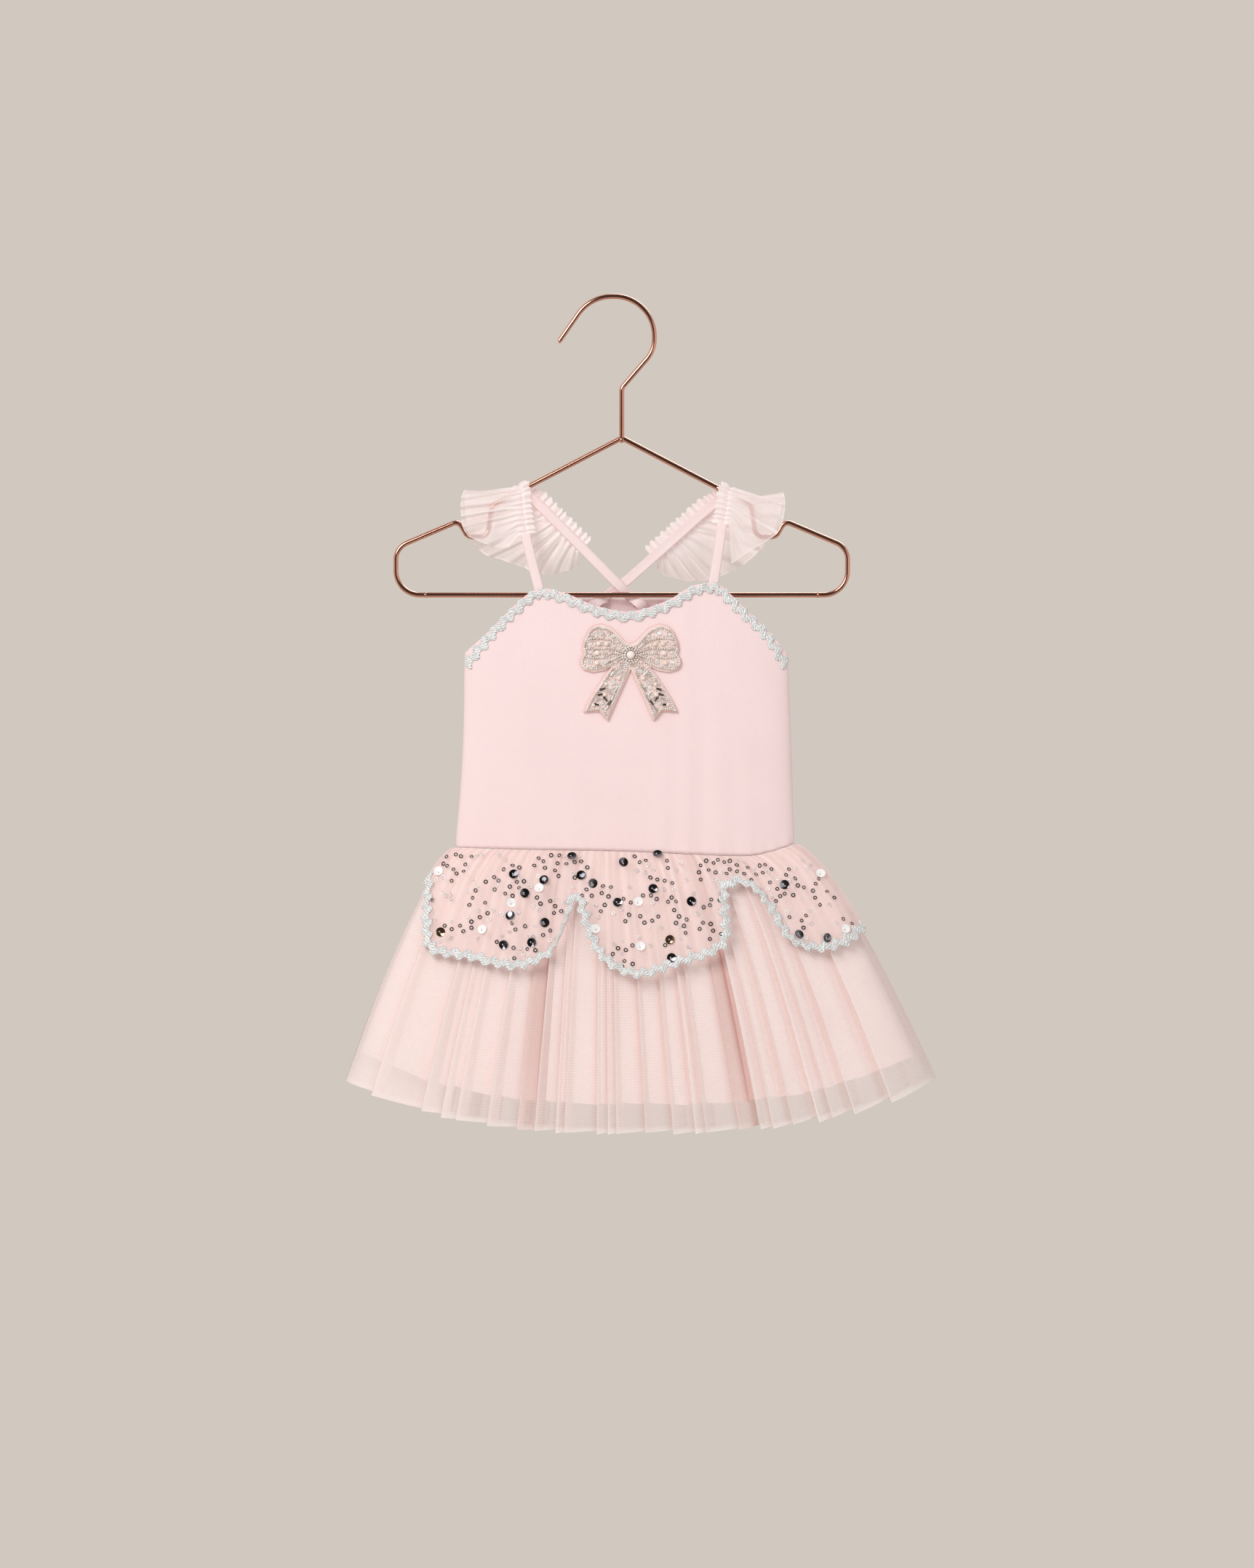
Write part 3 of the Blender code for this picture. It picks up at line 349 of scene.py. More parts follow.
NECKLINE_FINE = smooth_table(NECKLINE)
BACK_EDGE_FINE = smooth_table(BACK_EDGE)
BODICE_SIDES_FINE = smooth_table(BODICE_SIDES)
FRONT_DEPTH_FINE = smooth_table(FRONT_DEPTH)
BACK_DEPTH_FINE = smooth_table(BACK_DEPTH)
WAIST_SEAM_FINE = smooth_table(WAIST_SEAM)
SCALLOP_DROPS = [row for scallop in SCALLOPS for row in smooth_table(scallop)[:-1]] + [SCALLOPS[-1][-1]]


def lengths_along(points):
    totals = [0.0]
    for a, b in zip(points, points[1:]):
        totals.append(totals[-1] + (b - a).length)
    return totals


class Route:
    """Path of points, each with how far along the route it is."""

    def __init__(self, points, totals=None):
        self.points = points
        self.totals = totals or lengths_along(points)
        self.length = self.totals[-1]

    def at(self, along):
        upper = clamp(bisect.bisect_right(self.totals, along), 1, len(self.totals) - 1)
        low, high = self.totals[upper - 1], self.totals[upper]
        share = (along - low) / max(high - low, 1e-9)
        return self.points[upper - 1].lerp(self.points[upper], clamp(share))

    def way(self, along, reach):
        """Step from a reach before a place to a reach after it."""
        return self.at(along + reach) - self.at(along - reach)


def uneven(x, z, size, seed=0.0):
    """Smooth uneven value from -1 to 1 over patches of a size in millimetres."""
    return noise.noise(Vector((x / size, z / size, seed)))


# Materials

class Nodes:
    """Shader nodes of one material or world."""

    def __init__(self, owner):
        self.tree = owner.node_tree

    def feed(self, socket, value):
        """Give a socket a value, or link another node's output to it."""
        if isinstance(value, bpy.types.NodeSocket):
            self.tree.links.new(value, socket)
        else:
            socket.default_value = value

    def node(self, kind, settings=None, inputs=None):
        """Outputs of a new node with these settings and inputs."""
        made = self.tree.nodes.new("ShaderNode" + kind)
        for key, value in (settings or {}).items():
            setattr(made, key, value)
        for key, value in (inputs or {}).items():
            self.feed(made.inputs[key], value)
        return made.outputs

    def math(self, operation, first, second, clamped=False):
        return self.node("Math", {"operation": operation, "use_clamp": clamped}, {0: first, 1: second})[0]

    def add(self, first, second, clamped=False):
        return self.math("ADD", first, second, clamped)

    def times(self, first, second, clamped=False):
        return self.math("MULTIPLY", first, second, clamped)

    def blend(self, low, high, share):
        """Colour from low to high. The mix node's colours are its inputs 6 and 7, and its output 2."""
        return self.node("Mix", {"data_type": "RGBA"}, {0: share, 6: low, 7: high})[2]

    def attribute(self, name):
        return self.node("Attribute", {"attribute_name": name})["Fac"]

    def noise(self, place, scale, detail):
        return self.node("TexNoise", inputs={"Vector": place, "Scale": scale, "Detail": detail})[0]

    def wave(self, place, scale, direction, distortion):
        return self.node("TexWave", {"wave_type": "BANDS", "bands_direction": direction},
                         {"Vector": place, "Scale": scale, "Distortion": distortion, "Detail Scale": 2.0})["Fac"]

    def cells(self, place, scale):
        """A value of its own, from 0 to 1, in each small cell."""
        colour = self.node("TexVoronoi", {"feature": "F1"}, {"Vector": place, "Scale": scale})["Color"]
        return self.node("SeparateColor", inputs={0: colour})[0]


class Finish(Nodes):
    """Principled material. more gives other sockets by name, with _ for a space."""

    def __init__(self, name, colour, roughness, metallic=0.0, **more):
        self.material = bpy.data.materials.new(name)
        self.material.use_nodes = True
        super().__init__(self.material)
        for socket, value in {"Base_Color": colour, "Roughness": roughness, "Metallic": metallic, **more}.items():
            self.set(socket.replace("_", " "), value)

    def set(self, socket, value):
        self.feed(self.tree.nodes["Principled BSDF"].inputs[socket], value)

    def colour(self, low, high, share):
        self.set("Base Color", self.blend(low, high, share))

    def cloth(self):
        """Metres of cloth across and along, from the piece's own map."""
        return self.node("UVMap", {"uv_map": "cloth"})["UV"]

    def place(self):
        return self.node("TexCoord")["Object"]

    def bump(self, height, strength, distance):
        made = self.node("Bump", inputs={"Strength": strength, "Distance": distance, "Height": height})
        self.set("Normal", made[0])


def jersey_material():
    """Matt cotton jersey: fine columns of stitches, soft fuzz and a faint mottle."""
    finish = Finish("jersey", srgb(250, 226, 226), 0.85, Sheen_Weight=0.15, Sheen_Roughness=0.5)
    cloth = finish.cloth()
    stitches = finish.times(finish.wave(cloth, 330.0, "X", 0.6), finish.wave(cloth, 400.0, "Y", 1.2))
    finish.bump(finish.add(stitches, finish.noise(cloth, 900.0, 3.0)), 0.2, 0.0003)
    finish.colour(srgb(249, 224, 225), srgb(254, 232, 232), finish.noise(cloth, 18.0, 3.0))
    return finish.material


def tulle_material(name, thin, dense, opacity, fold_opacity, net_scale=560.0):
    """Sheer net: faint knitted lines across, a fine mesh, denser where it is folded, and painted shade in the folds
    from the piece's shade attribute.

    opacity is what the open net has between its lines and threads.
    """
    finish = Finish(name, srgb(*dense), 0.8, Sheen_Weight=0.1, Sheen_Roughness=0.4)
    cloth = finish.cloth()
    lines = finish.wave(cloth, 300.0, "Y", 1.5)
    net = finish.node("TexVoronoi", {"feature": "DISTANCE_TO_EDGE"},
                      {"Vector": cloth, "Scale": net_scale, "Randomness": 0.35})[0]
    threads = finish.math("LESS_THAN", net, 0.14)
    patches = finish.noise(cloth, 26.0, 3.0)
    fold = finish.attribute("fold")
    alpha = opacity
    for part, share in ((lines, 0.05), (threads, 0.06), (patches, 0.12), (fold, fold_opacity)):
        alpha = finish.add(finish.times(part, share), alpha, clamped=True)
    finish.set("Alpha", alpha)
    tint = finish.blend(srgb(*thin), srgb(*dense), finish.add(fold, patches, clamped=True))
    # painted shade: the colour darkens toward this brownish pink where the shade attribute marks folds and recesses
    finish.colour(tint, srgb(206, 158, 148), finish.attribute("shade"))
    finish.bump(lines, 0.08, 0.0002)
    return finish.material


def lining_material(name, low, high):
    """Close-set inner tulle or thread: opaque, with faint knitted lines, soft patches, and painted shade in its folds
    wherever the piece has a shade attribute.
    """
    finish = Finish(name, srgb(*high), 0.85, Sheen_Weight=0.1, Sheen_Roughness=0.5)
    cloth = finish.cloth()
    lines = finish.wave(cloth, 300.0, "Y", 2.0)
    knitted = finish.times(finish.add(lines, -0.5), 0.1)
    share = finish.add(finish.noise(cloth, 22.0, 3.0), knitted, clamped=True)
    tint = finish.blend(srgb(*low), srgb(*high), share)
    # painted shade: the colour darkens toward this pink where the shade attribute marks folds and recesses
    finish.colour(tint, srgb(196, 150, 142), finish.attribute("shade"))
    finish.bump(lines, 0.1, 0.0003)
    return finish.material


def satin_material():
    """Ribbon: smooth satin with fine woven lines, darker at its edges and folds by painted shade where the piece's
    shade attribute says so.
    """
    finish = Finish("satin_ribbon", srgb(248, 220, 220), 0.42, Sheen_Weight=0.2, Anisotropic=0.4)
    cloth = finish.cloth()
    tint = finish.blend(srgb(249, 225, 225), srgb(254, 238, 237), finish.noise(cloth, 90.0, 2.0))
    # painted shade: the colour darkens toward this pink where the shade attribute marks edges and folds
    finish.colour(tint, srgb(232, 194, 192), finish.attribute("shade"))
    finish.bump(finish.wave(cloth, 500.0, "X", 0.2), 0.12, 0.0002)
    return finish.material


def braid_material():
    """Silver-white metallic braid: plaited strands, coloured from grey painted shade between them to white painted
    glints on them and in small cells.
    """
    finish = Finish("metallic_braid", srgb(232, 237, 235), 0.34, 0.12)
    cloth = finish.cloth()
    turned = finish.node("Mapping", inputs={"Vector": cloth, "Rotation": (0.0, 0.0, 0.85)})[0]
    glint_cells = finish.cells(cloth, 1300.0)
    strands = finish.add(finish.wave(turned, 220.0, "X", 1.6), glint_cells)
    # painted shade and painted glints: grey between the strands, white on them and in the glint cells
    finish.colour(srgb(176, 183, 184), srgb(255, 255, 255), finish.times(strands, 0.75, clamped=True))
    finish.set("Roughness", finish.add(finish.times(glint_cells, 0.35), 0.2))
    finish.bump(strands, 0.5, 0.0005)
    return finish.material


def rose_gold_material():
    """Polished plating on wire, a little uneven in tone and polish."""
    finish = Finish("rose_gold", srgb(214, 160, 140), 0.16, 1.0)
    tone = finish.noise(finish.place(), 30.0, 2.0)
    finish.colour(srgb(202, 144, 124), srgb(224, 172, 152), tone)
    finish.set("Roughness", finish.add(finish.times(tone, 0.1), 0.1))
    return finish.material


def glint_material(name, low, high, roughness, metallic, scale, coat=0.0):
    """Bead or sequin finish whose tone changes from one to the next."""
    finish = Finish(name, srgb(*high), roughness, metallic, Coat_Weight=coat)
    finish.colour(srgb(*low), srgb(*high), finish.cells(finish.place(), scale))
    return finish.material


GLINTS = {  # name, darkest and lightest tone, roughness, metallic, cells to a metre, clear coat
    "seed": ("seed_beads", (216, 198, 188), (255, 253, 251), 0.12, 0.1, 420.0, 0.6),
    "pearl": ("pearls", (244, 226, 210), (255, 246, 240), 0.2, 0.0, 200.0, 0.8),
    "stone": ("clear_stones", (226, 218, 214), (255, 253, 251), 0.05, 0.2, 500.0),
    "silver": ("silver_bugles", (205, 200, 196), (255, 255, 255), 0.1, 0.5, 300.0),
    "dark": ("dark_bugles", (40, 34, 32), (120, 104, 96), 0.12, 0.6, 300.0),
    "dark_sequin": ("dark_sequins", (74, 74, 80), (140, 140, 148), 0.12, 1.0, 160.0),
    "grey_sequin": ("grey_sequins", (110, 112, 118), (170, 170, 176), 0.14, 1.0, 160.0),
    # white discs and hole knots: painted reflection, sequins drawn white where they catch the light
    "white_sequin": ("painted_glint_sequins", (246, 246, 246), (255, 255, 255), 0.3, 0.0, 160.0),
    "bronze_sequin": ("bronze_sequins", (176, 132, 96), (206, 170, 140), 0.14, 1.0, 160.0),
    "ring_sequin": ("ring_sequins", (28, 26, 28), (92, 88, 90), 0.2, 0.55, 260.0),
    "clear_sequin": ("clear_sequins", (214, 200, 198), (255, 252, 252), 0.1, 0.1, 260.0),
}
MATERIALS = {
    "jersey": jersey_material(),
    "tulle": tulle_material("pleated_tulle", (244, 230, 227), (251, 240, 237), 0.39, 0.34),
    "ruffle": tulle_material("ruffle_tulle", (246, 232, 230), (252, 241, 240), 0.41, 0.4),
    "mesh": tulle_material("sequin_mesh", (244, 218, 213), (250, 229, 226), 0.53, 0.30, 760.0),
    "lining": lining_material("lining_tulle", (244, 226, 224), (250, 235, 233)),
    "backing": lining_material("bow_backing", (245, 220, 213), (252, 230, 225)),
    "cord": lining_material("bow_cord", (238, 196, 190), (246, 208, 202)),
    "thread": lining_material("stitches", (240, 204, 202), (250, 220, 218)),
    "satin": satin_material(),
    "braid": braid_material(),
    "rose_gold": rose_gold_material(),
}
MATERIALS.update((key, glint_material(*row)) for key, row in GLINTS.items())
SHEER = ("tulle", "mesh", "ruffle")


# Making pieces

def as_mesh(shape, name):
    mesh = bpy.data.meshes.new(name)
    shape.to_mesh(mesh)
    shape.free()
    return mesh


def add_object(name, data):
    made = bpy.data.objects.new(name, data)
    bpy.context.scene.collection.objects.link(made)
    return made


def as_piece(shape, name, material, nodes=(), wall=0.0, crease=None):
    """Turn a bmesh in millimetres into a smooth piece in metres. Edges bent by more than crease stay sharp."""
    bmesh.ops.scale(shape, vec=(MM, MM, MM), verts=shape.verts[:])
    mesh = as_mesh(shape, name)
    mesh.shade_smooth()
    if crease is not None:
        mesh.set_sharp_from_angle(angle=crease)
    return as_ridden(add_object(name, mesh), material, nodes, wall)


def as_ridden(piece, material, nodes, wall=0.0):
    """Give a piece its material and wall, and let it ride on the garment in place of the CAD's nodes."""
    piece.data.materials.append(MATERIALS[material])
    if wall:
        shell = piece.modifiers.new("wall", "SOLIDIFY")
        shell.thickness = wall * MM
        shell.offset = -1.0
    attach(piece, "root")
    if nodes:
        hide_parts(*nodes)
    return piece


def cloth(name, columns, rows, place, material, nodes=(), wall=0.0, tone=None, crease=None):
    """Sheet of cloth. place(column, row) gives a point and the way out there.

    tone(column, row) gives how dense the cloth is there from its folds, and how much painted shade it takes, each
    from 0 to 1.
    """
    points = [[place(column, row) for row in rows] for column in columns]
    across = lengths_along([line[-1][0] for line in points])
    down = lengths_along([spot[0] for spot in points[len(columns) // 2]])
    shape = bmesh.new()
    map_layer = shape.loops.layers.uv.new("cloth")
    fold_layer = shape.verts.layers.float.new("fold")
    shade_layer = shape.verts.layers.float.new("shade")
    bmesh.ops.create_grid(shape, x_segments=len(columns) - 1, y_segments=len(rows) - 1, size=1.0)
    grid_places = {}
    for vert in shape.verts:
        i = round((vert.co.x + 1) / 2 * (len(columns) - 1))
        j = round((vert.co.y + 1) / 2 * (len(rows) - 1))
        grid_places[vert] = (i, j)
        vert.co = points[i][j][0]
        if tone:
            vert[fold_layer], vert[shade_layer] = tone(columns[i], rows[j])
    shape.normal_update()
    lean = 0.0
    for face in shape.faces:
        i, j = grid_places[face.verts[0]]
        lean += face.normal.dot(points[i][j][1])
        for loop in face.loops:
            i, j = grid_places[loop.vert]
            loop[map_layer].uv = (across[i] * MM, down[j] * MM)
    if lean < 0:
        bmesh.ops.reverse_faces(shape, faces=shape.faces[:])
    piece = as_piece(shape, name, material, nodes, wall, crease)
    piece.visible_shadow = material not in SHEER  # net passes light on to what lies under it
    return piece


def bent_path(bends):
    """Path through (x, z, bend radius) rows in the hanger's plane, with its corners rounded."""
    spots = [Vector((x, 0.0, z)) for x, z, _ in bends]
    path = [spots[0]]
    for before, corner, after, (_, _, radius) in zip(spots, spots[1:], spots[2:], bends[1:]):
        way_in = (corner - before).normalized()
        way_out = (after - corner).normalized()
        turn = way_in.angle(way_out)
        reach = radius * math.tan(turn / 2)
        steps = max(4, round(math.degrees(turn) / DEGREES_PER_STEP))
        centre = corner + (way_out - way_in).normalized() * radius / math.cos(turn / 2)
        start = corner - way_in * reach - centre
        finish = corner + way_out * reach - centre
        for step in range(steps + 1):
            angle = turn * step / steps
            path.append(centre + (start * math.sin(turn - angle) + finish * math.sin(angle)) / math.sin(turn))
    return path + [spots[-1]]


def tube(name, path, radius, material, nodes=(), closed=False):
    """Round wire or cord along a path."""
    curve = bpy.data.curves.new(name, "CURVE")
    curve.dimensions = "3D"
    curve.bevel_depth = radius * MM
    curve.bevel_resolution = 5 if radius > 1 else 2
    curve.use_fill_caps = not closed
    spline = curve.splines.new("POLY")
    spline.points.add(len(path) - 1)
    for knot, point in zip(spline.points, path):
        knot.co = (*(point * MM), 1.0)
    spline.use_cyclic_u = closed
    spline.use_smooth = True
    as_ridden(add_object(name, curve), material, nodes)


def make_hanger():
    """Hook, arms and bar of one wire, with small weld beads."""
    def arm(side):
        return bent_path([(STEM_X + side * out, height, radius) for out, height, radius in ARM_BENDS])

    ends = [Vector((STEM_X + side * BAR_HALF_LENGTH, 0.0, BAR_Z)) for side in (-1, 0, 1)]
    for name, path in (("hook", bent_path(HOOK_BENDS)), ("arm_left", arm(-1)), ("arm_right", arm(1)), ("bar", ends)):
        tube("wire_" + name, path, WIRE_DIAMETER / 2, "rose_gold", ["hanger_" + name])
    height, slope = arm_height(COLLAR_X)
    welds = [  # x, height, radius, stretch along the wire, lean
        (STEM_X, -94.0, 2.15, 1.0, 0.0), (STEM_X - BAR_HALF_LENGTH, BAR_Z, 1.95, 0.8, 0.0),
        (STEM_X + BAR_HALF_LENGTH, BAR_Z, 1.95, 0.8, 0.0), (-37.6, -27.8, 1.78, 0.7, 0.0),
        (COLLAR_X, height, 2.1, 1.3, math.atan(-slope)),
    ]
    shape = bmesh.new()
    for x, z, radius, length, lean in welds:
        place = Matrix.Translation((x, 0.0, z)) @ Matrix.Rotation(lean, 4, "Y")
        bmesh.ops.create_uvsphere(shape, u_segments=16, v_segments=10, radius=radius,
                                  matrix=place @ Matrix.Diagonal((length, 1.0, 1.0, 1.0)))
    as_piece(shape, "wire_welds", "rose_gold")


# Bodice

def ring_place(across, half_width, depth, side):
    """Offset from a flattened tube's middle, and the way out. across is -1 at the left seam and 1 at the right."""
    across = clamp(across, -1.0)
    bulge = (1 - abs(across) ** FLATNESS) ** (1 / FLATNESS)
    offset = Vector((across * half_width, side * (SEAM_GAP / 2 + depth * bulge), 0.0))
    return offset, Vector((across, side * math.sqrt(max(0.0, 1 - across * across)), 0.0))


def waist_z(across):
    """Height of the waist seam."""
    return read_table(WAIST_SEAM_FINE, across)


def side_ease(across, reach):
    """0 at the side seams and 1 from a reach inside them."""
    return min(1.0, (1 - abs(across)) / reach)


def bodice_ring(z):
    """The bodice's middle and half width at a height."""
    left = read_table(BODICE_SIDES_FINE, z, 1)
    right = read_table(BODICE_SIDES_FINE, z, 2)
    return (left + right) / 2, (right - left) / 2


def even_columns(count):
    """Places across a panel, closer together towards the side seams."""
    return [math.sin(math.pi / 2 * step / count) for step in range(-count, count + 1)]


def soft_fold(across, up):
    """How far the front's soft upright folds stand out."""
    lift = 0.0
    for middle, width, height, reach in SOFT_FOLDS:
        fade = max(0.0, 1 - up / reach) if reach < 1 else 1 - 0.5 * up
        lift += height * fade * bell(across - middle, width)
    return lift


def bodice_point(across, z, side, up=0.5):
    """Point of the bodice's outer side, and the way out, with its folds and seam puckers."""
    centre, half = bodice_ring(z)
    depths = FRONT_DEPTH_FINE if side < 0 else BACK_DEPTH_FINE
    offset, outward = ring_place(across, half, read_table(depths, z), side)
    lift = 0.35 * uneven(across * half, z, JERSEY_PATCH, side)
    if side < 0:
        lift += soft_fold(across, up)
    puckers = 0.35 * math.sin(across * PUCKER_TURNS + 3 * uneven(across * half, 0.0, 25.0)) - 0.5
    lift += puckers * math.exp(-up / PUCKER_REACH)
    return Vector((centre, 0.0, z)) + offset + outward * lift, outward


def bodice_place(side):
    """place(across, up) of a bodice panel: up is 0 at the waist seam and 1 at the upper edge."""
    top_centre, top_half = bodice_ring(-200.0)
    edge = NECKLINE_FINE if side < 0 else BACK_EDGE_FINE

    def place(across, up):
        bottom = waist_z(across)
        top = read_table(edge, top_centre + top_half * across)
        return bodice_point(across, mix(bottom, top, up), side, up)

    return place


def front_spot(x, z, out=0.0):
    """Point a little outside the bodice's front at an x and a height, and the way out."""
    centre, half = bodice_ring(z)
    across = clamp((x - centre) / half, -0.998, 0.998)
    bottom = waist_z(across)
    top = read_table(NECKLINE_FINE, x)
    point, outward = bodice_point(across, z, -1, clamp((z - bottom) / (top - bottom)))
    return point + outward * out, outward


def make_bodice():
    rows = even_steps(0.0, 69 / 72, 69) + [0.975, 0.985, 0.993, 1.0]
    front = cloth("bodice_front_panel", even_columns(64), rows, bodice_place(-1), "jersey", ["bodice_front"],
                  wall=JERSEY_WALL)
    back = cloth("bodice_back_panel", even_columns(48), rows, bodice_place(1), "jersey", ["bodice_back"],
                 wall=JERSEY_WALL)


def ricrac(name, length, place, node, width):
    """Zigzag braid with a rounded face. place(along, aside) gives the cloth's point under it and the way out."""
    waves = round(length / BRAID_PERIOD)
    count = waves * BRAID_STEPS
    columns = even_steps(0.0, length, count)
    rows = [width / 2 * side for side in (-1.0, -0.92, -0.65, -0.3, 0.0, 0.3, 0.65, 0.92, 1.0)]

    def place_braid(along, aside):
        phase = 2 * math.pi * waves * along / length + 0.9 * uneven(along, 0.0, 15.0, 2.0)
        swing = BRAID_SWING * (math.cos(phase) - 0.12 * math.cos(3 * phase))
        point, outward = place(along, aside * (1 + 0.1 * uneven(along, 0.0, 4.0, 5.0)) + swing)
        rounding = math.sqrt(max(0.0, 1 - (aside / width * 2) ** 2))
        strand = 0.32 * math.sin(2 * math.pi * (along * 0.85 + aside * math.sin(phase) * 0.9) / 2.9)
        return point + outward * (0.5 + BRAID_WALL * (0.3 + 0.7 * rounding) + strand * rounding), outward

    cloth(name, columns, rows, place_braid, "braid", [node], wall=BRAID_SHELL)


def make_neck_braid():
    outline = [Vector((x, 0.0, z)) for x, z in NECKLINE]
    outline[0] += Vector((-0.8, 0.0, -6.5))  # the braid's ends run a little way down the side seams
    outline[-1] += Vector((0.8, 0.0, -6.5))
    edge = Route(smooth_curve(outline, 10))

    def place(along, aside):
        ahead = edge.way(along, 3.0).normalized()
        spot = edge.at(along) + Vector((ahead.z, 0.0, -ahead.x)) * (NECK_BRAID_INSET + aside)
        return front_spot(spot.x, spot.z)

    ricrac("neck_ricrac", edge.length, place, "neck_braid", NECK_BRAID_WIDTH)


# Skirt

def hem_z(across):
    """Height of the outer layer's hem."""
    return HEM_SIDE_Z - HEM_DIP * (1 - min(abs(across), 1.0) ** HEM_DIP_POWER)


def skirt_ring(down):
    """The skirt's middle and half width, and its share of the whole flare, at a share of its length."""
    flare = down ** FLARE_POWER
    centre, half = bodice_ring(WAIST_Z)
    return mix(centre, HEM_CENTRE, flare), mix(half, HEM_HALF_WIDTH, flare), flare


def drop_at(across):
    """Height of the outer layer from its hem to the waist seam."""
    return waist_z(across) - hem_z(across)


def skirt_place(across, down, lift, side, hem_rise=0.0):
    """Point of the skirt moved out by lift. down is 0 at the waist and 1 at the outer hem."""
    centre, half, flare = skirt_ring(down)
    waist_depth, hem_depth = SKIRT_DEPTHS[side]
    offset, outward = ring_place(across, half, mix(waist_depth, hem_depth, flare), side)
    z = mix(waist_z(across) - SEAM_GAP, hem_z(across) + hem_rise, down)
    return Vector((centre, 0.0, z)) + offset + outward * lift, outward


def back_pleats():
    """Guessed pleats of uneven width, in rows like the front's."""
    pleats = []
    for index in range(BACK_PLEAT_COUNT):
        width = BACK_PLEAT_WIDTH * (1 + 0.32 * math.sin(2.3 * index) + 0.16 * math.sin(5.1 * index + 1))
        pleats.append((width, 0.15 * width, 0.15 * width))
    return pleats


def underlap_of(width):
    """How far a pleat reaches under the next one, which is this wide."""
    return PLEAT_UNDERLAP * min(width, WIDEST_UNDERLAP)


def knife_pleats(pleats, seed):
    """Stations across overlapping pleats. Each is (across, height, how folded, how much painted shade, hem rise)."""
    chance = random.Random(seed)
    total = sum(row[0] for row in pleats)
    stations = []
    start = 0.0
    for (width, crest, trough), (next_width, next_crest, _) in zip(pleats, pleats[1:] + [(0.0, 0.0, 0.0)]):
        rise = chance.uniform(-0.9, 0.9)
        underlap = underlap_of(next_width)
        reach = width + underlap
        # depth and dark: painted shade just before the next pleat's folded edge, where this face runs under it, more
        # in recessed pleats
        depth = 0.36 + 0.09 * max(0.0, trough - crest)
        for share in CREST_STEPS:
            across = min(2 * (start + share * reach) / total - 1, 1.0)
            height = mix(crest, -trough, share ** 0.75) + 0.5 * math.sin(math.pi * share)
            height *= side_ease(across, 0.03) * PLEAT_DEPTH
            mark = bell(share * reach, 0.9)
            dark = depth * bell(max(0.0, width - share * reach), 2.7) + 0.24 * max(0.0, -crest)
            stations.append((across, height, mark, dark, rise - 1.2 + 2.0 * share))
        start += width
        for share in UNDERLAP_STEPS if underlap else ():
            across = min(2 * (start + underlap * (1 - share)) / total - 1, 1.0)
            height = mix(-trough, next_crest, share) - 0.2 * math.sin(math.pi * share)
            # painted shade in the underlap, fading towards the next pleat's crest
            stations.append((across, height * PLEAT_DEPTH, 0.2, depth * (1 - share), rise))
    return stations


def make_outer_layer(name, pleats, side, seed, node):
    """Sheer layer in overlapping knife pleats."""
    stations = knife_pleats(pleats, seed)
    rows = [(step / 46) ** 1.15 for step in range(47)]

    def place(station, down):
        across, height, _, _, rise = station
        growth = 0.12 + 0.88 * down ** 0.8
        sway = 0.9 * uneven(across * 90.0, down * 60.0, 30.0, seed)
        return skirt_place(across, down, (height + sway) * growth, side, rise * down)

    def tone(station, down):
        near_left = clamp((-0.62 - station[0]) / 0.1)
        dense = 0.8 * station[2] + 0.8 * bell((1 - down) * SKIRT_DROP, HEM_THREAD)
        dense += 0.5 * near_left * (1 + 1.4 * down ** 6)
        # painted shade: the pleats' shade, strongest midway down, plus painted shade along the left side where the
        # key light falls
        return dense, station[3] * (0.75 + 0.4 * math.sin(math.pi * down)) + 0.14 * near_left

    piece = cloth(name, stations, rows, place, "tulle", [node], tone=tone, crease=FOLD_CREASE)
    unfolded = sum(row[0] + 2 * underlap_of(row[0]) for row in pleats) * MM


def make_under_layer(name, pleats, side, seed, node):
    """Opaque layer hung inside the outer one and shorter by the sheer band."""
    total = sum(row[0] for row in pleats)
    chance = random.Random(seed)
    stations = []
    start = 0.0
    levels = [-0.8 * trough - 0.2 for _, _, trough in pleats]
    neighbours = zip(levels[:1] + levels, levels, levels[1:] + levels[-1:])
    for (width, crest, trough), (before, level, after) in zip(pleats, neighbours):
        rise = chance.uniform(-0.8, 0.8)
        # depth and dark: painted shade before the next pleat and in recessed pleats
        depth = 0.25 + 0.1 * max(0.0, trough - crest)
        for share in LINING_STEPS:
            early = mix((before + level) / 2, level, share * 2)
            late = mix(level, (level + after) / 2, share * 2 - 1)
            height = early if share < 0.5 else late
            dark = depth * bell((1 - share) * width, 3.0) + 0.2 * max(0.0, -crest)
            stations.append((2 * (start + share * width) / total - 1, height, dark, rise + 1.2 * share))
        start += width
    stations.append((1.0, -0.8, 0.0, 0.0))

    def place(station, row):
        across, height, _, rise = station
        down = row * (1 - (UNDER_LAYER_RISE - rise) / drop_at(across))
        inside = LINING_INSET + LINING_INSET_GROWTH * math.sqrt(down)
        lift = height * PLEAT_DEPTH * down ** 0.8 * side_ease(across, 0.03)
        return skirt_place(across, down, lift - inside, side)

    def tone(station, row):
        # painted shade from the pleats, strongest midway down
        return 0.0, station[2] * (0.8 + 0.4 * math.sin(math.pi * row))

    piece = cloth(name, stations, even_steps(0.0, 1.0, 30), place, "lining", [node], tone=tone)


def make_skirt():
    make_outer_layer("pleated_tulle_front", FRONT_PLEATS, -1, 7, "skirt_outer_front")
    make_outer_layer("pleated_tulle_back", back_pleats(), 1, 19, "skirt_outer_back")
    make_under_layer("lining_tulle_front", FRONT_PLEATS, -1, 23, "skirt_under_front")
    make_under_layer("lining_tulle_back", back_pleats(), 1, 29, "skirt_under_back")


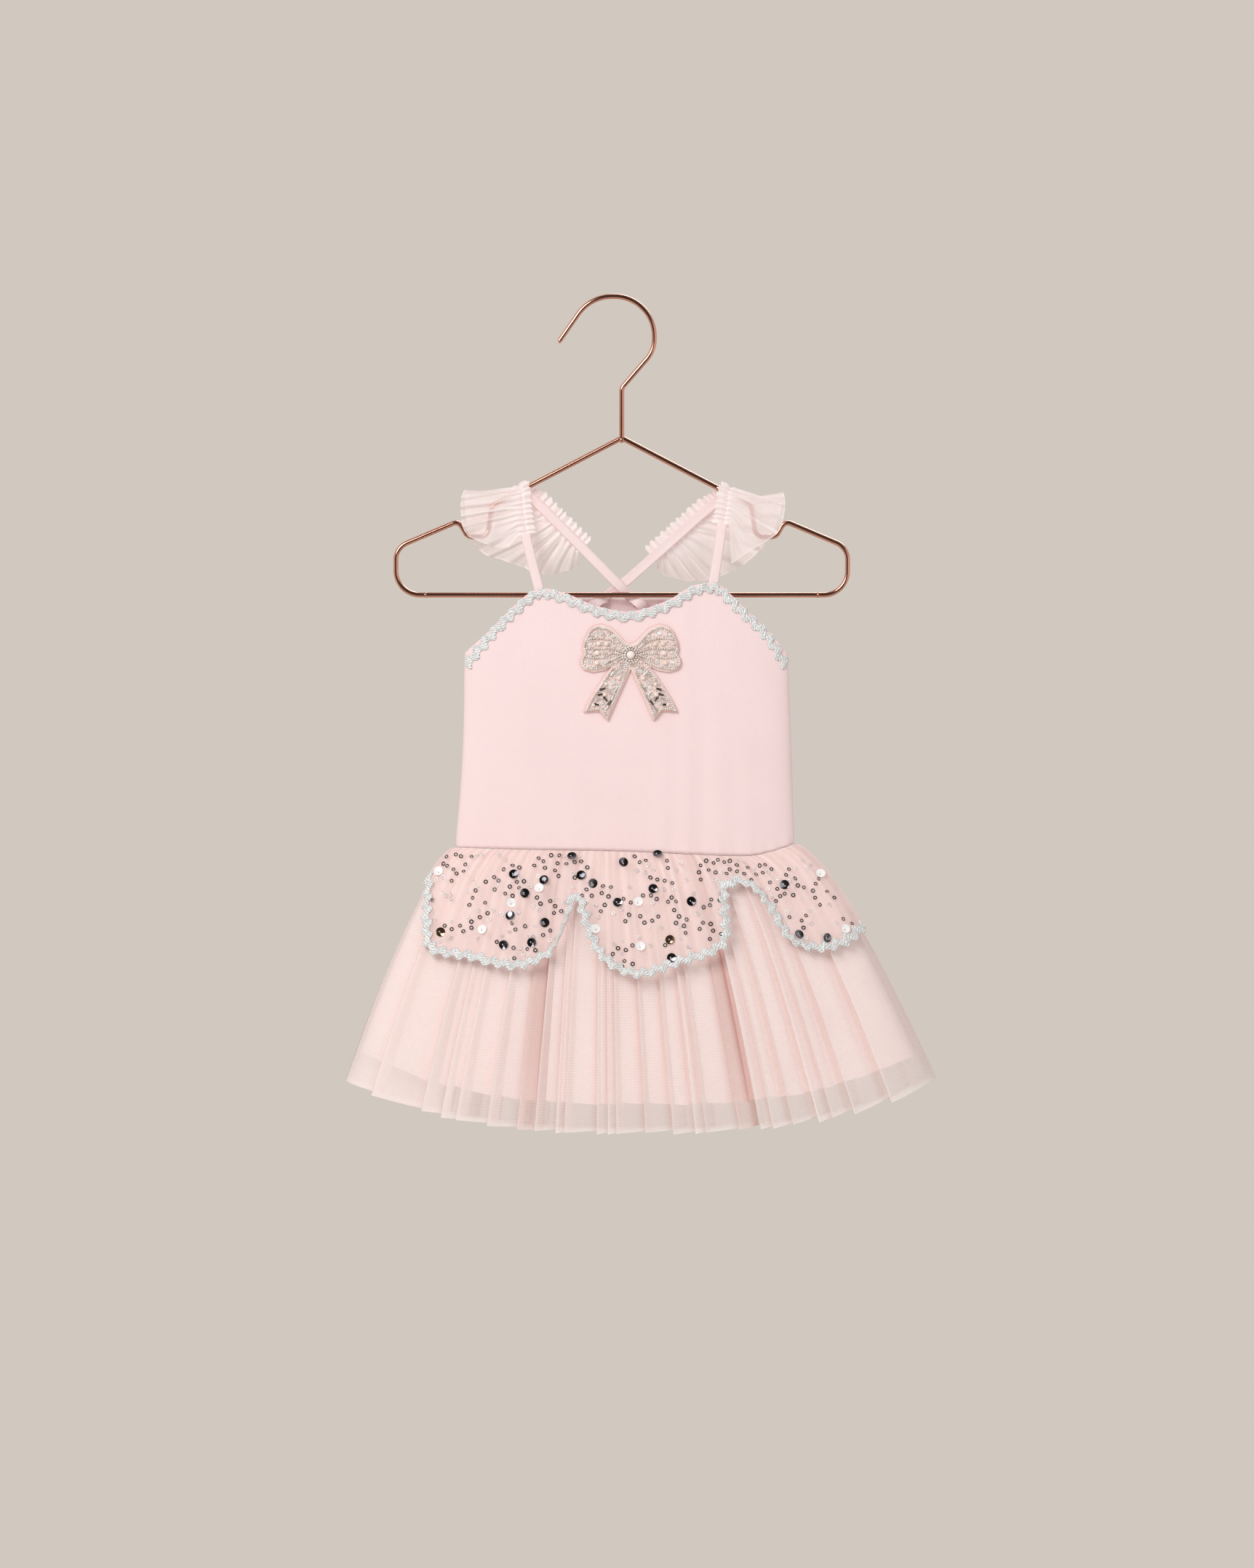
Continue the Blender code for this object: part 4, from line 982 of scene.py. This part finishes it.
# Overskirt

def round_waist_of(across, side):
    """How far round the waist a place across the front or the back is."""
    return (across + 1) / 2 if side < 0 else 1 + (1 - across) / 2


def mesh_down(across, side, share=1.0):
    """How far down the skirt a share of the overskirt's length reaches."""
    return share * read_table(SCALLOP_DROPS, round_waist_of(across, side)) / drop_at(across)


def overskirt_place(side):
    """place(across, share) of the overskirt: share is 0 at the waist seam and 1 at the scallops' edge."""
    def place(across, share):
        down = mesh_down(across, side, share)
        share = min(share, 1.0)
        puff = MESH_PUFF * min(1.0, down / 0.12) ** 0.6 + MESH_SPREAD * down
        puff = MESH_LIFT + puff * (1 - 0.7 * abs(across) ** 6)
        broad, fine = mesh_gathers(across, down)
        grown = 0.3 + 0.7 * min(1.0, down / 0.1) * (1 - 0.35 * share)
        gathers = broad * grown + 0.3 * fine * (1 - 0.75 * share)
        return skirt_place(across, down, puff + side_ease(across, 0.06) * gathers, side)

    return place


def mesh_gathers(across, down):
    """The overskirt's soft broad gathers and its fine ones, each from -1 to 1 and uneven across."""
    turn = math.pi * (across + 1)
    drift = 1.3 * uneven(across * 110, down * 40, 24.0)
    broad = math.cos(OVERSKIRT_GATHERS * turn + drift) * (0.65 + 0.6 * uneven(across * 110, 0.0, 9.0, 8.0))
    fine = math.cos(FINE_GATHERS * turn + 3.0 * uneven(across * 110, down * 60, 13.0, 4.0))
    return broad, fine * (0.6 + 0.9 * uneven(across * 110, down * 50, 10.0, 6.0))


def make_overskirt(name, side, node):
    def tone(across, share):
        down = mesh_down(across, side, share)
        broad, fine = mesh_gathers(across, down)
        near_waist = math.exp(-down / 0.06)
        # painted shade in the troughs of the gathers and just below the waist seam
        dark = 0.2 * max(0.0, -broad) + 0.08 * max(0.0, -fine) + 0.3 * near_waist * (0.6 - 0.5 * fine)
        return 0.4 * max(0.0, fine), dark

    piece = cloth(name, even_steps(-1.0, 1.0, 424), even_steps(0.0, 1.0, 26), overskirt_place(side), "mesh",
                  [node], tone=tone)


def rounded(path, reach):
    """The path with each point moved to the middle of its neighbours."""
    last = len(path) - 1
    middles = []
    for index in range(len(path)):
        near = min(reach, index, last - index)
        stretch = path[index - near:index + near + 1]
        middles.append(sum(stretch, Vector((0.0, 0.0))) / len(stretch))
    return middles


def share_at(place, across, z):
    """Share of the overskirt's length at which it reaches a height."""
    top, bottom = place(across, 0.0)[0].z, place(across, 1.0)[0].z
    return (top - z) / (top - bottom)


def overskirt_spot(side, across, z, out):
    """Point of the overskirt at a place across and a height, and the way out square to the mesh."""
    place = overskirt_place(side)
    across = clamp(across, -MESH_SIDES, MESH_SIDES)
    share = clamp(share_at(place, across, z), high=MESH_SPOT_REACH)
    point = place(across, share)[0]
    step_across = place(min(across + 0.01, 1.0), share)[0] - place(max(across - 0.01, -1.0), share)[0]
    step_down = place(across, share + 0.03)[0] - place(across, max(share - 0.03, 0.0))[0]
    outward = step_down.cross(step_across).normalized()
    if outward.y * side < 0:
        outward = -outward
    return point + outward * out, outward


def turned_under(across, side):
    """How far the braid is turned under the mesh, at the right side of the first front scallop."""
    return bell(round_waist_of(across, side) - TURNED_UNDER, 0.018, 4)


def make_scallop_ricrac(name, side, node):
    place_mesh = overskirt_place(side)

    def on_mesh(across, z):
        across = clamp(across, -0.997, 0.997)
        point = place_mesh(across, share_at(place_mesh, across, z))[0]
        return point, Vector((across, side * math.sqrt(1 - across ** 2), 0.0))

    def measured(path):
        """Route of (across, height) points whose lengths are those on the mesh."""
        return Route(path, lengths_along([on_mesh(*spot)[0] for spot in path]))

    edge = measured([Vector((across, place_mesh(across, 1.0)[0].z)) for across in even_steps(-0.99, 0.99, 600)])
    route = measured(rounded([edge.at(along) for along in even_steps(0.0, edge.length, 600)], 5))

    def place(along, aside):
        here = route.at(along)
        ahead = route.way(along, 3.0)
        stretch = on_mesh(here.x + 0.01, here.y)[0] - on_mesh(here.x - 0.01, here.y)[0]
        scale = math.hypot(stretch.x, stretch.y) / 0.02
        way = Vector((ahead.x * scale, ahead.y)).normalized()
        inset = SCALLOP_BRAID_INSET + aside * (1 - 0.62 * turned_under(here.x, side))
        return on_mesh(here.x - inset * way.y / scale, here.y + inset * way.x)

    ricrac(name, route.length, place, node, SCALLOP_BRAID_WIDTH)


# Sequins

def cupped_shape(name, segments, rings, hole_shift=0.0):
    """Cupped disc with a hole. rings gives the radius and height of each ring of points from the hole out."""
    shape = bmesh.new()
    bmesh.ops.create_circle(shape, segments=segments, radius=rings[0][0])
    edges = shape.edges[:]
    for radius, height in rings[1:]:
        grown = bmesh.ops.extrude_edge_only(shape, edges=edges)["geom"]
        edges = [item for item in grown if isinstance(item, bmesh.types.BMEdge)]
        for vert in (item for item in grown if isinstance(item, bmesh.types.BMVert)):
            vert.co = (*(vert.co.xy.normalized() * radius), height)
    for vert in shape.verts:
        vert.co.y += hole_shift * (1 - vert.co.xy.length / rings[-1][0])
    return template(shape, name)


def bead_shape(name, radius, around=8, along=5):
    shape = bmesh.new()
    bmesh.ops.create_uvsphere(shape, u_segments=around, v_segments=along, radius=radius)
    return template(shape, name)


def cone_shape(name, wide, narrow, depth):
    shape = bmesh.new()
    bmesh.ops.create_cone(shape, segments=8, radius1=wide, radius2=narrow, depth=depth, cap_ends=True)
    return template(shape, name)


def template(shape, name):
    """Mesh of a small shape, with its faces outward, to be copied to many places."""
    bmesh.ops.recalc_face_normals(shape, faces=shape.faces[:])
    if sum(face.normal.z for face in shape.faces) < 0:
        bmesh.ops.reverse_faces(shape, faces=shape.faces[:])
    return as_mesh(shape, name)


def scatter(name, mesh, places, material, crease=None):
    """One piece of many copies of a small shape. places are matrices in millimetres."""
    shape = bmesh.new()
    for place in places:
        before = len(shape.verts)
        shape.from_mesh(mesh)
        shape.verts.ensure_lookup_table()
        bmesh.ops.transform(shape, matrix=place, verts=shape.verts[before:])
    as_piece(shape, name, material, crease=crease)


def turned_to(way):
    """Rotation that turns +Z to a way."""
    return way.to_track_quat("Z", "Y").to_matrix().to_4x4()


def facing(point, outward, turn=0.0, size=1.0):
    """Matrix that sets a flat shape on a point, facing a way."""
    place = Matrix.Translation(point) @ turned_to(outward)
    return place @ Matrix.Rotation(turn, 4, "Z") @ Matrix.Scale(size, 4)


def tilted(outward, chance, amount):
    """The way out, leaning a little at chance."""
    lean = Vector((chance.gauss(0, amount), chance.gauss(0, amount * 0.5), chance.gauss(0, amount)))
    return (outward + lean).normalized()


def mesh_edge(side, across):
    """Height of the overskirt's edge."""
    return overskirt_place(side)(across, 1.0)[0].z


def across_at(x, z):
    """Place across the overskirt, which stands a little outside the skirt, for an x and a height."""
    centre, half, _ = skirt_ring(clamp((SEAM_MIDDLE_Z - z) / MIDDLE_DROP))
    return (x - centre) / (half + 3.0)


def set_discs(side, chance, taken, places):
    """Large sequins, where they are seen in front, and behind at chance places like those."""
    rows = FRONT_PAILLETTES
    if side > 0:
        rows = [(-x + 20.0 + chance.uniform(-9, 9), z + chance.uniform(-6, 6), kind) for x, z, kind in rows]
    for x, z, kind in rows:
        across = across_at(x, z)
        if abs(across) > 0.985 or z < mesh_edge(side, across) - DISC_OVERHANG:
            continue
        point, outward = overskirt_spot(side, across, z, DISC_LIFT)
        way = tilted(outward, chance, 0.16)
        taken.append((point, DISC_GAP))
        places[kind].append(facing(point, way, chance.uniform(2.4, 4.0)))
        # a white knot at each hole: partly the thread, partly a painted glint where the hole catches the light
        places["knot"].append(facing(point + way * 0.2, way) @ Matrix.Translation((-0.7, 0.2, 0.0)))


def set_ring_groups(side, chance, taken, places):
    """Small rings in short straggling rows. Few of them come near the braid."""
    for _ in range(RING_CLUSTERS):
        across = chance.uniform(-0.96, 0.96)
        z = chance.uniform(mesh_edge(side, across) + 2.0, RING_TOP)
        heading = chance.uniform(0, 2 * math.pi)
        for _ in range(chance.choice(CLUSTER_SIZES)):
            if not -0.98 < across < 0.98:
                break
            low = mesh_edge(side, across) + (BRAID_CLEARANCE if chance.random() < 0.85 else 0.0)
            high = waist_z(across) - SEAM_CLEARANCE
            point, outward = overskirt_spot(side, across, z, RING_LIFT)
            if low < z < high and all((point - other).length > gap for other, gap in taken):
                taken.append((point, RING_GAP))
                way = tilted(outward, chance, 0.22)
                places["ring"].append(facing(point, way, 0.0, chance.uniform(0.85, 1.05)))
            heading += chance.uniform(-1.7, 1.7)
            across += RING_STEP * math.cos(heading) / MEAN_HALF_WIDTH
            z += RING_STEP * math.sin(heading)


def set_clear_rings(side, chance, taken, places):
    """Single clear rings between the others."""
    for _ in range(CLEAR_RINGS):
        across = chance.uniform(-0.96, 0.96)
        z = chance.uniform(mesh_edge(side, across) + 1.0, waist_z(across) - SEAM_CLEARANCE)
        point, outward = overskirt_spot(side, across, z, CLEAR_RING_LIFT)
        if any((point - other).length < gap - 0.6 for other, gap in taken):
            continue
        taken.append((point, CLEAR_RING_GAP))
        way = tilted(outward, chance, 0.25)
        places["clear"].append(facing(point, way, 0.0, chance.uniform(0.85, 1.05)))


def make_sequins():
    places = {kind: [] for kind in (*DISC_KINDS, "ring", "clear", "knot")}
    for side, seed in ((-1, 41), (1, 43)):
        chance = random.Random(seed)
        taken = []
        for set_kind in (set_discs, set_ring_groups, set_clear_rings):
            set_kind(side, chance, taken, places)
    disc = cupped_shape("paillette_shape", 18, DISC_RINGS, hole_shift=1.1)
    ring = cupped_shape("ring_sequin_shape", 12, RING_RINGS)
    for kind in DISC_KINDS:
        scatter("sequin_discs_" + kind, disc, places[kind], kind + "_sequin")
    scatter("sequin_rings", ring, places["ring"], "ring_sequin")
    scatter("sequin_rings_clear", ring, places["clear"], "clear_sequin")
    # knots in the white material: partly thread, partly painted glint
    scatter("sequin_knots", bead_shape("knot_shape", 0.42), places["knot"], "white_sequin")


# Straps and ruffles

def arm_height(x):
    """Height of an arm's sloping length at an x, and how steeply it rises away from the stem."""
    out, z, _ = ARM_BENDS[1]
    slope = (z - ARM_TOP_Z) / (out - ARM_TOP_OUT)
    return ARM_TOP_Z + (abs(x - STEM_X) - ARM_TOP_OUT) * slope, slope


class Strap:
    """Route of a ribbon, with the way across it and the way out from the body at each length."""

    def __init__(self, sizes):
        height, slope = arm_height(sizes["arm_x"])
        crossing = Vector((sizes["arm_x"], 0.0, height))
        arm_side = math.copysign(1.0, sizes["arm_x"] - STEM_X)
        arm_way = Vector((1.0, 0.0, slope * arm_side)).normalized()
        arm_up = Vector((-arm_way.z, 0.0, arm_way.x))
        clear = WIRE_DIAMETER / 2 + SEAM_GAP + 0.5
        over = [crossing + clear * (-math.cos(a) * Vector((0, 1, 0)) + math.sin(a) * arm_up)
                for a in (0.0, math.pi / 4, math.pi / 2, math.pi * 3 / 4, math.pi)]
        self.route = Route(smooth_curve([*sizes["front"], *over, *sizes["back"]], 12))
        self.top = max(zip(self.route.points, self.route.totals), key=lambda spot: spot[0].z)[1]
        self.ways_across = [Vector((x, 0.0, z)).normalized() for x, z in sizes["sides_across"]]

    def length_at_z(self, z, behind):
        spots = zip(self.route.points, self.route.totals)
        return min((abs(point.z - z), along) for point, along in spots if (along > self.top) == behind)[1]

    def frame(self, at):
        front, top, back = self.ways_across
        near = min(1.0, abs(at - self.top) / STRAP_TURN_REACH)
        across = top.lerp(back if at > self.top else front, near).normalized()
        return self.route.at(at), across, across.cross(self.route.way(at, 1.0)).normalized()


def make_strap(name, strap, node):
    columns = even_steps(0.0, strap.route.length, 160)
    rows = even_steps(-RIBBON_WIDTH / 2, RIBBON_WIDTH / 2, 8)

    def place(at, aside):
        here, across, outward = strap.frame(at)
        crown = 0.25 * (1 - (aside / RIBBON_WIDTH * 2) ** 2) + 0.2 * uneven(at, aside, 16.0, 2.0)
        return here + across * aside + outward * (RIBBON_WALL / 2 + crown), outward

    def tone(at, aside):
        # painted shade towards the ribbon's edges
        return 0.0, 0.45 * (abs(aside) / RIBBON_WIDTH * 2) ** 8

    cloth(name, columns, rows, place, "satin", [node], wall=RIBBON_WALL, tone=tone)


def make_strap_end(name, x, z, heading_down):
    """Turned-back end of a strap, sewn inside the back panel's upper edge."""
    along = Vector((heading_down[0], 0.0, heading_down[1])).normalized()
    aside = Vector((-along.z, 0.0, along.x))

    def place(at, across):
        bulge = STRAP_END_BULGE * math.sin(math.pi * at) ** 0.7
        middle = Vector((x, STRAP_END_Y - bulge, z)) + along * mix(-STRAP_END_HALF_LENGTH, STRAP_END_HALF_LENGTH, at)
        return middle + aside * across * (1 - 0.1 * math.sin(2.4 * math.pi * at)), Vector((0.0, -1.0, 0.0))

    def tone(at, across):
        # painted shade along its edges and in a band across it at 0.62 of its length
        return 0.0, 0.5 * (abs(across) / STRAP_END_HALF_WIDTH) ** 8 + 0.2 * bell(at - 0.62, 0.05)

    rows = even_steps(-STRAP_END_HALF_WIDTH, STRAP_END_HALF_WIDTH, 6)
    cloth(name, even_steps(0.0, 1.0, 24), rows, place, "satin", tone=tone)


def ruffle_place(strap, sizes, outer_side):
    """place(share, row) of a ruffle: row is -1 at the heading's edge, 0 at the stitches and 1 at the free edge."""
    start = strap.length_at_z(sizes["from_z"], False)
    finish = strap.length_at_z(sizes["to_z"], True)
    shares = [point.x for point in smooth_curve([(row[0], 0.0, 0.0) for row in sizes["edge"]], 10)]
    edge = Route(smooth_curve([row[1:] for row in sizes["edge"]], 10), shares)
    base = SEAM_GAP + HEADING_LIFT

    def stitch_point(share):
        here, across, outward = strap.frame(mix(start, finish, share))
        return here - across * HEADING_RIDGE * outer_side + outward * (base + 1.2)

    def flounce_point(share, out):
        return stitch_point(share).lerp(edge.at(share), out)

    def place(share, row):
        here, across, outward = strap.frame(mix(start, finish, share))
        fine, broad = ruffle_waves(share, max(row, 0.0), sizes["seed"])
        if row < 0:
            behind = clamp((share - sizes["over_top"]) / 0.1)
            aside = mix(mix(HEADING_EDGE, BACK_HEADING_EDGE, behind), HEADING_RIDGE, row + 1)
            groove = bell(aside, 1.3)
            near_edge = max(0.0, (aside - 3.0) / (HEADING_EDGE - 3.0))
            rise = base + 1.3 * (1 - groove) * (1 - 0.4 * min(near_edge, 1.0)) + fine * (0.8 - 0.5 * groove)
            frill = 0.6 * near_edge * math.tanh(2.0 * fine)
            return here - across * (aside + frill) * outer_side + outward * rise, outward
        out = row ** 0.9
        along = flounce_point(min(share + 0.01, 1.0), out) - flounce_point(max(share - 0.01, 0.0), out)
        square = along.cross(edge.at(share) - stitch_point(share)).normalized() * -outer_side
        way = outward.lerp(square, min(1.0, out * 2)).normalized()
        over_top = bell(share - sizes["over_top"], 0.12)
        gathered = math.exp(-out / 0.3)
        height = 0.8 * fine * gathered + 2.1 * math.sqrt(out) * broad * (1 - 0.9 * over_top)
        return flounce_point(share, out) + way * height, way

    return place


def ruffle_waves(share, out, seed):
    """Fine gathers at the stitches and the fewer broad folds that they run into, each from about -1 to 1."""
    turns = min(share, 0.45) + 0.75 * max(0.0, share - 0.45)
    fine = math.cos(2 * math.pi * HEADING_GATHERS * turns + 2.6 * uneven(share * 100, 0.0, 6.0, seed))
    fine *= 0.75 + 0.6 * uneven(share * 100, out * 8, 5.0, seed + 1)
    phase = 2 * math.pi * RUFFLE_GATHERS * 0.68 * share + 3.0 * uneven(share * 100, out * 9, 13.0, seed + 2)
    broad = math.cos(phase) + 0.35 * math.cos(2.3 * phase + 1.0)
    return fine, broad * (0.7 + 0.8 * uneven(share * 100, out * 12, 8.0, seed + 3))


def make_ruffle(name, strap, sizes, outer_side, node):
    columns = even_steps(0.0, 1.0, RUFFLE_GATHERS * 16)
    rows = even_steps(-1.0, 0.0, 9)[:-1] + even_steps(0.0, 1.0, 20)
    place = ruffle_place(strap, sizes, outer_side)

    def tone(share, row):
        fine, broad = ruffle_waves(share, max(row, 0.0), sizes["seed"])
        gathered = math.exp(-max(row, 0.0) / 0.22)
        free_edge = bell((1 - row) * 40, 0.9)
        dense = 0.5 * max(0.0, broad) ** 3 + 0.9 * gathered + 0.7 * free_edge
        # painted shade in the valleys of the fine gathers near the stitches and of the broad folds further out
        dark = 0.16 * gathered * max(0.0, -fine) + 0.14 * max(0.0, -broad) * (1 - gathered)
        return dense, dark

    piece = cloth(name, columns, rows, place, "ruffle", [node], tone=tone)
    stitches = []
    for step in range(RUFFLE_GATHERS * 2):
        share = (step + 0.5) / (RUFFLE_GATHERS * 2)
        edge = HEADING_EDGE if share < sizes["over_top"] else BACK_HEADING_EDGE
        groove = HEADING_RIDGE / (edge - HEADING_RIDGE)
        point, outward = place(share, groove)
        ahead = turned_to(outward).inverted() @ (place(min(share + 0.01, 1.0), groove)[0] - point)
        stitch = facing(point + outward * 0.35, outward, math.atan2(ahead.y, ahead.x))
        stitches.append(stitch @ Matrix.Diagonal(STITCH_STRETCH))
    scatter(name + "_stitches", bead_shape(name + "_stitch", 0.36), stitches, "thread")


# Bow

def bow_point(x, z, out):
    """Point over the bodice at a place about the bow's knot, and the way out."""
    return front_spot(BOW_CENTRE[0] + x, BOW_CENTRE[1] + z, out)


def inside_outline(spot, edge, margin):
    """Whether a spot lies inside a closed outline and at least a margin from it."""
    crossings = 0
    for a, b in edge:
        share = clamp((spot - a).dot(b - a) / max((b - a).length_squared, 1e-9))
        if (a.lerp(b, share) - spot).length < margin:
            return False
        if (a.y > spot.y) != (b.y > spot.y) and spot.x < mix(a.x, b.x, (spot.y - a.y) / (b.y - a.y)):
            crossings += 1
    return crossings % 2 == 1


def make_bow_backing(outline):
    """Raised backing with a corded edge."""
    shape = bmesh.new()
    face = shape.faces.new([shape.verts.new(p) for p in outline])
    bmesh.ops.recalc_face_normals(shape, faces=[face])
    if face.normal.y > 0:
        face.normal_flip()
    raised = bmesh.ops.extrude_face_region(shape, geom=[face])
    top = [item for item in raised["geom"] if isinstance(item, bmesh.types.BMFace)]
    bmesh.ops.translate(shape, verts=top[0].verts[:], vec=(0.0, -1.2, 0.0))
    bmesh.ops.inset_region(shape, faces=top, thickness=0.8, depth=0.5)
    bmesh.ops.triangulate(shape, faces=shape.faces[:])
    bmesh.ops.recalc_face_normals(shape, faces=shape.faces[:])
    for vert in shape.verts:
        vert.co = bow_point(vert.co.x, vert.co.z, 0.5 - vert.co.y)[0]
    as_piece(shape, "bow_backing", "backing", ["bow_applique"], crease=math.radians(40))
    cord = [bow_point(p.x * 1.01, p.z * 1.01, 1.2)[0] for p in outline]
    tube("bow_corded_edge", cord, 0.45, "cord", closed=True)


def set_bow_rows(side, chance, taken, places):
    """One half's stones, bugles and rows of seed beads."""
    for x, z, radius, kind in BOW_STONES:
        spot = Vector((side * x + chance.uniform(-0.3, 0.3), z + chance.uniform(-0.3, 0.3)))
        places[kind].append(facing(*bow_point(*spot, BEAD_LIFT), chance.uniform(0, 3), radius))
        taken.append((spot, radius))
    for x, z, turn, kind in BOW_BUGLES:
        axis = Vector((side * math.cos(math.radians(turn)), 0.0, math.sin(math.radians(turn))))
        places[kind].append(facing(bow_point(side * x, z, BUGLE_LIFT)[0], axis))
        taken += [(Vector((side * x + step * axis.x, z + step * axis.z)), 0.5) for step in (-1.2, 0.0, 1.2)]
    for row in BOW_SEED_ROWS:
        route = Route(smooth_curve([(side * x, 0.0, z) for x, z in row], 8))
        for along in even_steps(0.0, route.length, round(route.length / SEED_STEP)):
            spot = route.at(along).xz
            places["seed"].append(facing(*bow_point(*spot, BEAD_LIFT), 0.0, chance.uniform(0.74, 0.86)))
            taken.append((spot, 0.5))


def fill_bow(outline, chance, taken, places):
    """Smaller seed beads wherever there is still room."""
    edge = [(a.xz, b.xz) for a, b in zip(outline, outline[1:] + outline[:1])]
    for z in even_steps(-45, 21, 55):
        for x in even_steps(-33, 33, 41):
            spot = Vector((x + chance.uniform(-0.45, 0.45), z + chance.uniform(-0.35, 0.35)))
            if spot.length < KNOT_REACH or not inside_outline(spot, edge, 1.0):
                continue
            if all((spot - other).length > radius + 0.62 for other, radius in taken):
                places["seed"].append(facing(*bow_point(*spot, BEAD_LIFT - 0.5), 0.0, chance.uniform(0.62, 0.8)))
                taken.append((spot, 0.6))


def make_bow():
    right = [Vector((x, 0.0, z)) for x, z in BOW_OUTLINE]
    left = [Vector((-p.x, 0.0, p.z)) for p in reversed(right) if p.x > 0.01]
    outline = [point * BOW_SIZE for point in right + left]
    make_bow_backing(outline)

    chance = random.Random(5)
    places = {kind: [] for kind in ("seed", "pearl", "stone", "silver", "dark")}
    taken = []
    for side in (-1, 1):
        set_bow_rows(side, chance, taken, places)
    fill_bow(outline, chance, taken, places)
    for radius, count in KNOT_RINGS:
        for step in range(count):
            angle = 2 * math.pi * step / count
            spot = bow_point(radius * math.cos(angle), radius * math.sin(angle), 3.5 - 0.1 * radius)
            places["seed"].append(facing(*spot, 0.0, 0.92))
    places["pearl"].append(facing(*bow_point(0.0, 0.0, 3.2), 0.0, KNOT_PEARL_RADIUS))

    bugle = cone_shape("bugle_shape", 0.62, 0.62, 3.6)
    for name, shape, kind, crease in (
            ("bow_seed_beads", bead_shape("seed_shape", 1.0), "seed", None),
            ("bow_pearls", bead_shape("pearl_shape", 1.0, 14, 8), "pearl", None),
            ("bow_stones", cone_shape("stone_shape", 1.0, 0.55, 0.5), "stone", 0.3),
            ("bow_bugles_silver", bugle, "silver", 0.8),
            ("bow_bugles_dark", bugle, "dark", 0.8)):
        scatter(name, shape, places[kind], kind, crease)


# Studio

def area_light(name, place, width, energy, colour):
    light = bpy.data.lights.new(name, "AREA")
    light.shape = "DISK"
    light.size = width
    light.energy = energy
    light.color = colour
    lamp = add_object(name, light)
    lamp.location = place
    lamp.rotation_mode = "QUATERNION"
    lamp.rotation_quaternion = (Vector(LIGHTS_AIM) - Vector(place)).to_track_quat("-Z", "Y")


def make_world():
    """Surroundings that look plain and pale.

    What shiny pieces mirror is dark towards the camera, and brighter at the sides, below and behind.
    """
    world = bpy.data.worlds.new("studio")
    bpy.context.scene.world = world
    world.use_nodes = True
    nodes = Nodes(world)
    nodes.tree.nodes.clear()
    rays = nodes.node("LightPath")
    way = nodes.node("SeparateXYZ", inputs={0: nodes.node("TexCoord")["Generated"]})
    sideways = nodes.times(nodes.math("ABSOLUTE", way["X"], 0.0), 0.5)
    away = nodes.add(way["Y"], nodes.add(sideways, nodes.times(way["Z"], -0.3)))
    brightness = nodes.node("MapRange", inputs={
        "Value": away, "From Min": -0.56, "From Max": 0.25, "To Min": 0.08, "To Max": 1.1})[0]

    def background(colour, strength):
        return nodes.node("Background", inputs={"Color": colour, "Strength": strength})[0]

    def either(ray, otherwise, then):
        return nodes.node("MixShader", inputs={0: rays[ray], 1: otherwise, 2: then})[0]

    soft = background(srgb(207, 204, 202), 0.94)
    mirrored = background(srgb(224, 216, 210), brightness)
    seen = background(srgb(209, 200, 191), 1.0)
    shown = either("Is Camera Ray", either("Is Glossy Ray", soft, mirrored), seen)
    nodes.node("OutputWorld", inputs={"Surface": shown})


def make_studio():
    """Pale surroundings, soft lights, a pale floor well below, and the camera straight in front."""
    scene = bpy.context.scene
    scene.view_settings.view_transform = "Standard"
    make_world()
    for name, light in LIGHTS.items():
        area_light(name, *light)

    floor = bmesh.new()
    bmesh.ops.create_circle(floor, segments=96, radius=2.0, cap_ends=True, matrix=Matrix.Translation((0, 0, FLOOR_Z)))
    mesh = as_mesh(floor, "floor")
    mesh.materials.append(Finish("pale_floor", srgb(214, 205, 196), 0.9).material)
    ground = add_object("floor", mesh)

    camera = bpy.data.cameras.new("camera")
    camera.lens = CAMERA_LENS
    camera.sensor_width = 36.0
    scene.camera = add_object("camera", camera)
    scene.camera.location = CAMERA_PLACE
    scene.camera.rotation_euler = (math.pi / 2, 0.0, 0.0)


make_studio()
make_hanger()
make_bodice()
make_neck_braid()
make_skirt()
make_overskirt("overskirt_mesh_front", -1, "overskirt_front")
make_overskirt("overskirt_mesh_back", 1, "overskirt_back")
make_scallop_ricrac("scallop_ricrac_front", -1, "overskirt_braid_front")
make_scallop_ricrac("scallop_ricrac_back", 1, "overskirt_braid_back")
make_sequins()
for side_name, outer, strap_sizes, ruffle_sizes in (
        ("left", -1, LEFT_STRAP, LEFT_RUFFLE), ("right", 1, RIGHT_STRAP, RIGHT_RUFFLE)):
    ribbon = Strap(strap_sizes)
    make_strap("satin_strap_" + side_name, ribbon, "strap_" + side_name)
    make_ruffle("tulle_ruffle_" + side_name, ribbon, ruffle_sizes, outer, "ruffle_" + side_name)
make_strap_end("satin_strap_end_left", 15.2, -203.0, (0.72, -0.5))
make_strap_end("satin_strap_end_right", -12.4, -202.2, (-0.8, -0.35))
make_bow()
